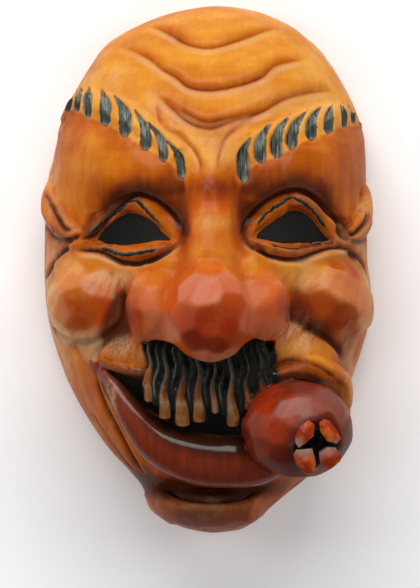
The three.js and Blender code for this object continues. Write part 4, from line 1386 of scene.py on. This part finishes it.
# Materials
class Nodes:
    """A material's nodes, put in by plain names."""

    def __init__(self, material):
        material.use_nodes = True
        self.tree = material.node_tree
        self.shader = self.tree.nodes["Principled BSDF"]

    def put(self, socket, value):
        if isinstance(value, bpy.types.NodeSocket):
            self.tree.links.new(value, socket)
        else:
            socket.default_value = value

    def add(self, kind, out=0, inputs=None, **settings):
        node = self.tree.nodes.new(kind)
        for name, value in settings.items():
            setattr(node, name, value)
        for name, value in (inputs or {}).items():
            self.put(node.inputs[name], value)
        return node.outputs[out]

    def attribute(self, name):
        return self.add("ShaderNodeAttribute", "Fac", attribute_name=name)

    def math(self, operation, a, b, clamp=False):
        return self.add("ShaderNodeMath", inputs={0: a, 1: b}, operation=operation, use_clamp=clamp)

    def times(self, a, b):
        return self.math("MULTIPLY", a, b)

    def plus(self, a, b):
        return self.math("ADD", a, b)

    def highest(self, a, b):
        return self.math("MAXIMUM", a, b)

    def swing(self, noise, share):
        """The noise as a value that swings about 0."""
        return self.times(self.math("SUBTRACT", noise, 0.5), share)

    def noise(self, place, scale, detail, roughness=0.55):
        inputs = {"Vector": place, "Scale": scale, "Detail": detail, "Roughness": roughness}
        return self.add("ShaderNodeTexNoise", inputs=inputs)

    def streaks(self, place, scale, detail):
        """Noise drawn out along the axes with the smallest scale."""
        drawn_out = self.add("ShaderNodeMapping", inputs={"Vector": place, "Scale": scale})
        return self.noise(drawn_out, 1, detail)

    def blend(self, share, a, b):
        node = self.tree.nodes.new("ShaderNodeMix")
        self.put(node.inputs[0], share)
        self.put(node.inputs[2], a)
        self.put(node.inputs[3], b)
        return node.outputs[0]

    def turned_about_z(self, place, angle):
        return self.add("ShaderNodeMapping", inputs={"Vector": place, "Rotation": (0, 0, angle)})

    def mix(self, share, a, b):
        node = self.tree.nodes.new("ShaderNodeMix")
        node.data_type = "RGBA"
        self.put(node.inputs[0], share)
        self.put(node.inputs[6], a)
        self.put(node.inputs[7], b)
        return node.outputs[2]

    def ramp(self, value, stops):
        node = self.tree.nodes.new("ShaderNodeValToRGB")
        elements = node.color_ramp.elements
        elements[0].position, elements[0].color = stops[0]
        elements[1].position, elements[1].color = stops[-1]
        for position, colour in stops[1:-1]:
            elements.new(position).color = colour
        self.put(node.inputs[0], value)
        return node.outputs[0]

    def spread(self, value, low, high, to_low=0.0, to_high=1.0):
        """The value stretched so that low becomes to_low and high becomes to_high."""
        inputs = {"Value": value, "From Min": low, "From Max": high, "To Min": to_low, "To Max": to_high}
        return self.add("ShaderNodeMapRange", inputs=inputs)

    def noted(self, name, value, low, high):
        """An effect noted on the surface, broken up by a noise."""
        return self.times(self.attribute(name), self.spread(value, low, high))

    def shade(self, values):
        for name, value in values.items():
            self.put(self.shader.inputs[name], value)


# Colours; a ramp is a list of (place, colour)
AMBER = [
    (0.00, (0.72, 0.37, 0.085, 1)), (0.26, (0.60, 0.235, 0.022, 1)), (0.50, (0.44, 0.100, 0.004, 1)),
    (0.74, (0.22, 0.036, 0.003, 1)), (1.00, (0.050, 0.010, 0.003, 1)),
]
WARM_RED = (0.44, 0.060, 0.008, 1)
NOSE_RED = (0.27, 0.018, 0.004, 1)
# Deep brown where the tone is darkest: glaze and painted shade in the creases and hollows
DEEP_BROWN = (0.040, 0.010, 0.004, 1)
# Painted shade on the darker flats, and painted highlight on the paler flats of the nose and the cheeks
FLAT_SHADE_BROWN = (0.13, 0.012, 0.004, 1)
FLAT_PINK_HIGHLIGHT = (0.46, 0.155, 0.095, 1)
# Painted highlight on the paler flats of the fruit
FRUIT_HIGHLIGHT = (0.38, 0.15, 0.105, 1)
LIP_RED = (0.16, 0.021, 0.006, 1)
LIP_BROWN = (0.105, 0.015, 0.005, 1)
LIP_DARK = (0.016, 0.005, 0.002, 1)
FRUIT_RED = (0.15, 0.015, 0.005, 1)
FRUIT_GLOW = (0.28, 0.024, 0.004, 1)
FRUIT_DARK = (0.050, 0.007, 0.004, 1)
CALYX_RED = (0.23, 0.022, 0.005, 1)
CALYX_ORANGE = (0.42, 0.075, 0.010, 1)
# Pale grey painted highlight on the upper edges of the lower lobes
CALYX_HIGHLIGHT = (0.24, 0.17, 0.13, 1)
PAINT_BLACK = (0.008, 0.010, 0.009, 1)
PAINT_GREY = (0.19, 0.20, 0.165, 1)
# Black at the root to bare wood at the tip; the pale stop at 0.70 is a painted highlight on each strand's
# knuckle
STRAND_WOOD_AND_HIGHLIGHT = [
    (0.30, PAINT_BLACK), (0.42, (0.070, 0.020, 0.006, 1)), (0.58, (0.16, 0.045, 0.010, 1)),
    (0.70, (0.22, 0.130, 0.075, 1)), (0.80, (0.17, 0.055, 0.011, 1)), (1.00, (0.21, 0.078, 0.018, 1)),
]
# Pale for rubbed edges and dragged paint, and for painted highlights
PALE_EDGE = (0.56, 0.35, 0.17, 1)
INSIDE_BROWN = (0.034, 0.016, 0.008, 1)
INSIDE_DARK = (0.010, 0.005, 0.003, 1)
FLOOR_WHITE = (0.95, 0.95, 0.95, 1)
BARE_SHINE = 0.02
LACQUER_ROUGHNESS = 0.14
BRUSH_DEPTH = 0.0004
BRUSHED_TURN = 0.5


def grains(nodes):
    """The noises that break up the paint."""
    place = nodes.add("ShaderNodeTexCoord", "Object")
    downward = nodes.streaks(place, (150, 24, 60), 4)
    across = nodes.streaks(place, (16, 120, 40), 3)
    return {
        "mottle": nodes.noise(place, 42, 5),
        "cloud": nodes.noise(place, 70, 3),
        "dapple": nodes.noise(place, 150, 2),
        "ragged": nodes.noise(place, 420, 2),
        "speck": nodes.noise(place, 620, 2),
        "streak": nodes.streaks(place, (340, 36, 120), 3),
        "hairs": nodes.streaks(place, (1100, 70, 300), 2),
        "brushed": nodes.streaks(nodes.turned_about_z(place, BRUSHED_TURN), (260, 60, 90), 4),
        "downward": downward,
        "strokes": nodes.blend(nodes.attribute("strokes_across"), downward, across),
    }


def glazed_and_shaded_face(nodes, grain, hollow, flat_shade_and_glaze, flat_highlight_and_pale):
    """Amber glaze, browner in hollows and creases as glaze and painted shade, reddened on nose and cheeks,
    with painted shade and highlight from flat to flat.
    """
    tone = nodes.plus(nodes.attribute("tone"), nodes.times(hollow, 0.44))
    for name, share in (("mottle", 0.40), ("strokes", 0.30), ("streak", 0.14)):
        tone = nodes.plus(tone, nodes.swing(grain[name], share))
    colour = nodes.ramp(nodes.math("MINIMUM", tone, 0.93), AMBER)
    colour = nodes.mix(nodes.noted("warm", grain["mottle"], 0.10, 0.50), colour, WARM_RED)
    colour = nodes.mix(nodes.noted("blush", grain["mottle"], 0.15, 0.55), colour, NOSE_RED)
    colour = nodes.mix(nodes.times(nodes.spread(tone, 0.70, 1.15), 0.9), colour, DEEP_BROWN)
    colour = nodes.mix(flat_shade_and_glaze, colour, FLAT_SHADE_BROWN)
    return nodes.mix(flat_highlight_and_pale, colour, nodes.mix(nodes.attribute("warm"), PALE_EDGE, FLAT_PINK_HIGHLIGHT))


def lip_colour(nodes, grain):
    lip = nodes.mix(nodes.spread(grain["streak"], 0.35, 0.65), LIP_BROWN, LIP_RED)
    return nodes.mix(nodes.attribute("lip_shadow"), lip, LIP_DARK)


def fruit_colour(nodes, grain, hollow, flat_shade_and_glaze, flat_highlight_and_pale):
    dark = nodes.math("ADD", nodes.times(nodes.spread(grain["mottle"], 0.42, 0.75), 0.6), hollow, clamp=True)
    fruit = nodes.mix(nodes.noted("warm", grain["cloud"], 0.40, 0.60), FRUIT_RED, FRUIT_GLOW)
    fruit = nodes.mix(nodes.highest(dark, flat_shade_and_glaze), fruit, FRUIT_DARK)
    fruit = nodes.mix(nodes.times(flat_highlight_and_pale, 0.50), fruit, FRUIT_HIGHLIGHT)
    calyx = nodes.mix(nodes.spread(grain["dapple"], 0.48, 0.66), CALYX_RED, CALYX_ORANGE)
    calyx = nodes.mix(nodes.noted("calyx_highlight", grain["brushed"], 0.25, 0.55), calyx, CALYX_HIGHLIGHT)
    fruit = nodes.mix(nodes.attribute("calyx"), fruit, calyx)
    return nodes.mix(nodes.attribute("smudge_and_shade"), fruit, PAINT_BLACK)


def strand_colour(nodes, grain):
    bare = nodes.plus(nodes.attribute("strand_bare"), nodes.swing(grain["streak"], 0.22))
    # A grey painted highlight runs along each strand
    glint = nodes.noted("glint", grain["downward"], 0.42, 0.62)
    return nodes.mix(nodes.times(glint, 0.55), nodes.ramp(bare, STRAND_WOOD_AND_HIGHLIGHT), PAINT_GREY)


def worn_and_highlit_places(nodes, grain):
    """Edges rubbed pale, pale colour dragged over the high places, and painted highlights on lit planes and
    beside creases, but not over the black strands.
    """
    worn_and_highlit = nodes.highest(nodes.times(nodes.attribute("ridge_fine"), 0.15),
                         nodes.noted("scumble_and_highlight", grain["brushed"], 0.34, 0.58))
    worn_and_highlit = nodes.times(worn_and_highlit, nodes.spread(grain["speck"], 0.15, 0.55))
    worn_and_highlit = nodes.highest(worn_and_highlit, nodes.noted("pale_rim_and_highlight", grain["strokes"], 0.20, 0.60))
    kept_dark = nodes.noted("strand", nodes.attribute("strand_bare"), 0.5, 0.0)
    return nodes.times(worn_and_highlit, nodes.math("SUBTRACT", 1.0, nodes.times(kept_dark, 0.8)))


def painted_wood():
    material = bpy.data.materials.new("painted_wood")
    nodes = Nodes(material)
    grain = grains(nodes)
    # The hollows darken the colour: glaze gathered there and painted shade
    hollow = nodes.highest(nodes.attribute("hollow_fine"), nodes.times(nodes.attribute("hollow_broad"), 0.8))
    flat_shade_and_glaze = nodes.noted("flat_shade_and_glaze", grain["mottle"], 0.05, 0.50)
    flat_highlight_and_pale = nodes.noted("flat_highlight_and_pale", grain["brushed"], 0.15, 0.50)
    colour = glazed_and_shaded_face(nodes, grain, hollow, flat_shade_and_glaze, flat_highlight_and_pale)
    colour = nodes.mix(nodes.attribute("lip"), colour, lip_colour(nodes, grain))
    fruit = fruit_colour(nodes, grain, hollow, flat_shade_and_glaze, flat_highlight_and_pale)
    colour = nodes.mix(nodes.attribute("fruit"), colour, fruit)
    colour = nodes.mix(nodes.attribute("strand"), colour, strand_colour(nodes, grain))
    colour = nodes.mix(nodes.times(worn_and_highlit_places(nodes, grain), 0.80), colour, PALE_EDGE)
    ragged_line = nodes.plus(nodes.attribute("dark_line"), nodes.swing(grain["ragged"], 0.60))
    black = nodes.mix(nodes.noted("dry_brush_and_glint", grain["hairs"], 0.28, 0.58), PAINT_BLACK, PAINT_GREY)
    colour = nodes.mix(nodes.spread(ragged_line, 0.46, 0.58), colour, black)
    stain = nodes.mix(nodes.spread(grain["streak"], 0.35, 0.65), INSIDE_DARK, INSIDE_BROWN)
    colour = nodes.mix(nodes.attribute("inside"), colour, stain)
    lacquer = nodes.highest(nodes.times(nodes.attribute("strand"), 0.70), nodes.attribute("lip"))
    lacquer = nodes.highest(lacquer, nodes.times(nodes.attribute("fruit"), 0.30))
    height = nodes.plus(nodes.times(grain["strokes"], 0.8), nodes.times(grain["streak"], 0.2))
    bump = nodes.add("ShaderNodeBump", inputs={"Height": height, "Strength": 0.20, "Distance": BRUSH_DEPTH})
    nodes.shade({
        "Base Color": colour,
        "Roughness": nodes.spread(grain["mottle"], 0.3, 0.7, 0.34, 0.52),
        "Specular IOR Level": BARE_SHINE,
        "Coat Weight": nodes.spread(lacquer, 0, 1, 0.10, 0.40),
        "Coat Roughness": LACQUER_ROUGHNESS,
        "Normal": bump,
    })
    return material


mask.data.materials.clear()
mask.data.materials.append(painted_wood())
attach(mask, "root")
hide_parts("mask")


# Floor, camera and lights
FLOOR_GAP = 0.0002  # keeps the floor from lying in the plane of the rim
FLOOR_REACH = 3
CAMERA_AT = (0.00086, -0.0143, 1.6)
SENSOR_WIDTH = 36  # millimetres, as the lens is
LENS = 166.3
WORLD_STRENGTH = 0.16
# Soft lights: name, place, aim, size, power in watts, whether the lacquer mirrors it
LIGHTS = [
    ("softbox_top", (-0.12, 1.3, 0.90), (0, 0, 0.05), (1.5, 0.8), 28, True),
    ("strip_left", (-1.2, 0.2, 0.45), (0, 0, 0.05), (0.6, 1.6), 6.5, False),
    ("strip_right", (1.2, 0.2, 0.45), (0, 0, 0.05), (0.6, 1.6), 6, False),
    ("softbox_low", (0.0, -1.15, 1.6), (0, -0.05, 0.0), (1.8, 0.6), 12, False),
]


def add_floor():
    bm = bmesh.new()
    sunk = Matrix.Translation((0, 0, -FLOOR_GAP))
    bmesh.ops.create_grid(bm, x_segments=1, y_segments=1, size=FLOOR_REACH, matrix=sunk)
    floor = object_from(bm, "floor")
    material = bpy.data.materials.new("pale_floor")
    Nodes(material).shade({"Base Color": FLOOR_WHITE, "Roughness": 0.9})
    floor.data.materials.append(material)


def add_camera():
    data = bpy.data.cameras.new("camera")
    data.sensor_width = SENSOR_WIDTH
    data.lens = LENS
    camera = bpy.data.objects.new("camera", data)
    camera.location = CAMERA_AT
    bpy.context.scene.collection.objects.link(camera)
    bpy.context.scene.camera = camera


def add_light(name, at, towards, size, power, mirrored):
    data = bpy.data.lights.new(name, "AREA")
    data.shape = "RECTANGLE"
    data.size, data.size_y = size
    data.energy = power
    light = bpy.data.objects.new(name, data)
    light.location = at
    light.rotation_euler = (Vector(towards) - Vector(at)).to_track_quat("-Z", "Y").to_euler()
    light.visible_glossy = mirrored
    bpy.context.scene.collection.objects.link(light)


def add_world():
    world = bpy.data.worlds.new("studio")
    world.use_nodes = True
    background = world.node_tree.nodes["Background"]
    background.inputs["Color"].default_value = (1, 1, 1, 1)
    background.inputs["Strength"].default_value = WORLD_STRENGTH
    bpy.context.scene.world = world


add_floor()
add_camera()
for light in LIGHTS:
    add_light(*light)
add_world()
bpy.context.scene.view_settings.view_transform = "Standard"
